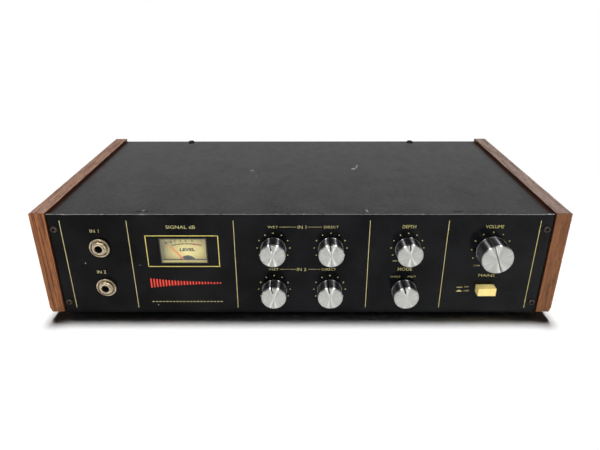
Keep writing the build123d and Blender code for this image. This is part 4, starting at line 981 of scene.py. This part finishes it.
# The floor takes the shadow near the unit and is plain white beyond; the wall is white and lights nothing
floor_end, wall_height, wall_thickness = 20000, 3400, 50
wall_start = floor_end - wall_thickness
wall_profile = ((wall_start, 0), (wall_start, wall_height), (floor_end, wall_height), (floor_end, 0))
floor = put("floor", lathe(((0, 0), (floor_end, 0)), floor_sides))
wall = put("wall", lathe(wall_profile, floor_sides))
shadow_reach, white_reach, floor_stretch = 0.24, 0.42, (0.55, 1, 1)
white = Finish("white_floor", 0.9, specular=0.0, colour=(250, 250, 250))
floor_spot = white.mapped(white.place(), scale=floor_stretch)
far_off = white.span(white.length(floor_spot), shadow_reach, white_reach)
glow = white.node("Emission", {"Color": (1, 1, 1, 1), "Strength": 1.0})
white_far = white.node("MixShader", {
    0: white.times(background_rays(white), far_off), 1: white.shader.outputs[0],
    2: glow.outputs[0]})
white.tree.links.new(white_far.outputs[0], white.tree.nodes["Material Output"].inputs["Surface"])
backing = Finish("white_wall", 1.0, specular=0.0, colour=(0, 0, 0))
backing.shader.inputs["Emission Color"].default_value = (1, 1, 1, 1)
backing.set("Emission Strength", background_rays(backing))
for ground, paint in ((floor, white), (wall, backing)):
    ground.data.materials.append(paint.material)

world = bpy.data.worlds.new("studio")
world.use_nodes = True
scene.world = world
room = world.node_tree
directions = add_node(room, "ShaderNodeTexCoord").outputs["Generated"]
upward = add_node(room, "ShaderNodeSeparateXYZ", {"Vector": directions}).outputs["Z"]
shade = add_node(room, "ShaderNodeValToRGB", {"Fac": upward})
room.links.new(shade.outputs["Color"], room.nodes["Background"].inputs["Color"])
wall_light, ceiling_light, ceiling_start = 0.012, 0.006, 0.6
set_stops(shade.color_ramp, [(0.0, wall_light), (ceiling_start, ceiling_light)])

unit_only, knobs_only, all_but_knobs, floor_only, casters = [
    bpy.data.collections.new(name)
    for name in ("unit_only", "knobs_only", "all_but_knobs", "floor_only", "shadow_casters")]
floor_only.objects.link(floor)
for thing in scene.objects:
    if thing.type == "MESH" and thing not in (floor, wall):
        unit_only.objects.link(thing)
        (knobs_only if thing.name.endswith("_turned_knob") else all_but_knobs).objects.link(thing)
for name in ("left_cheek", "right_cheek", "front_panel", "top_cover", "bottom_plate", "rear_panel", "feet"):
    casters.objects.link(nodes[name])


def area_light(name, size, place, aim, power, lit):
    """A rectangular soft light that points at a place and lights one group of things."""
    lamp = bpy.data.lights.new(name, "AREA")
    lamp.shape = "RECTANGLE"
    lamp.size, lamp.size_y = size
    lamp.energy = power
    light = put(name, lamp)
    light.location = place
    light.rotation_euler = (Vector(aim) - Vector(place)).to_track_quat("-Z", "Y").to_euler()
    light.light_linking.receiver_collection = lit


lamp_offset = 0.76  # of the paired lamps, to each side
face_size, face_aim = (0.25, 0.25), (0, -0.12, 0.07)
strip_size, strip_middle, strip_height = (3.6, 0.09), -1.1, 1.3
strip_aim = (0, strip_middle, 0.05)
area_light("front_soft", (1.6, 0.8), (0.0, -1.9, 0.75), (0, -0.1, 0.05), 14, all_but_knobs)
for label, x in (("left", -lamp_offset), ("right", lamp_offset)):
    area_light("face_" + label, face_size, (x, -3.3, 0.67), face_aim, 9, knobs_only)
    area_light("strip_" + label, strip_size, (x, strip_middle, strip_height), strip_aim, 19, unit_only)

sweep_lamp = bpy.data.lights.new("sweep_lamp", "SUN")
sweep_lamp.energy = 3.4
sweep_lamp.angle = radians(9)
sweep_light = put("sweep_lamp", sweep_lamp)
sweep_light.rotation_euler = (radians(-6.3), 0, 0)
sweep_light.light_linking.receiver_collection = floor_only
sweep_light.light_linking.blocker_collection = casters

scene.view_settings.view_transform = "Standard"
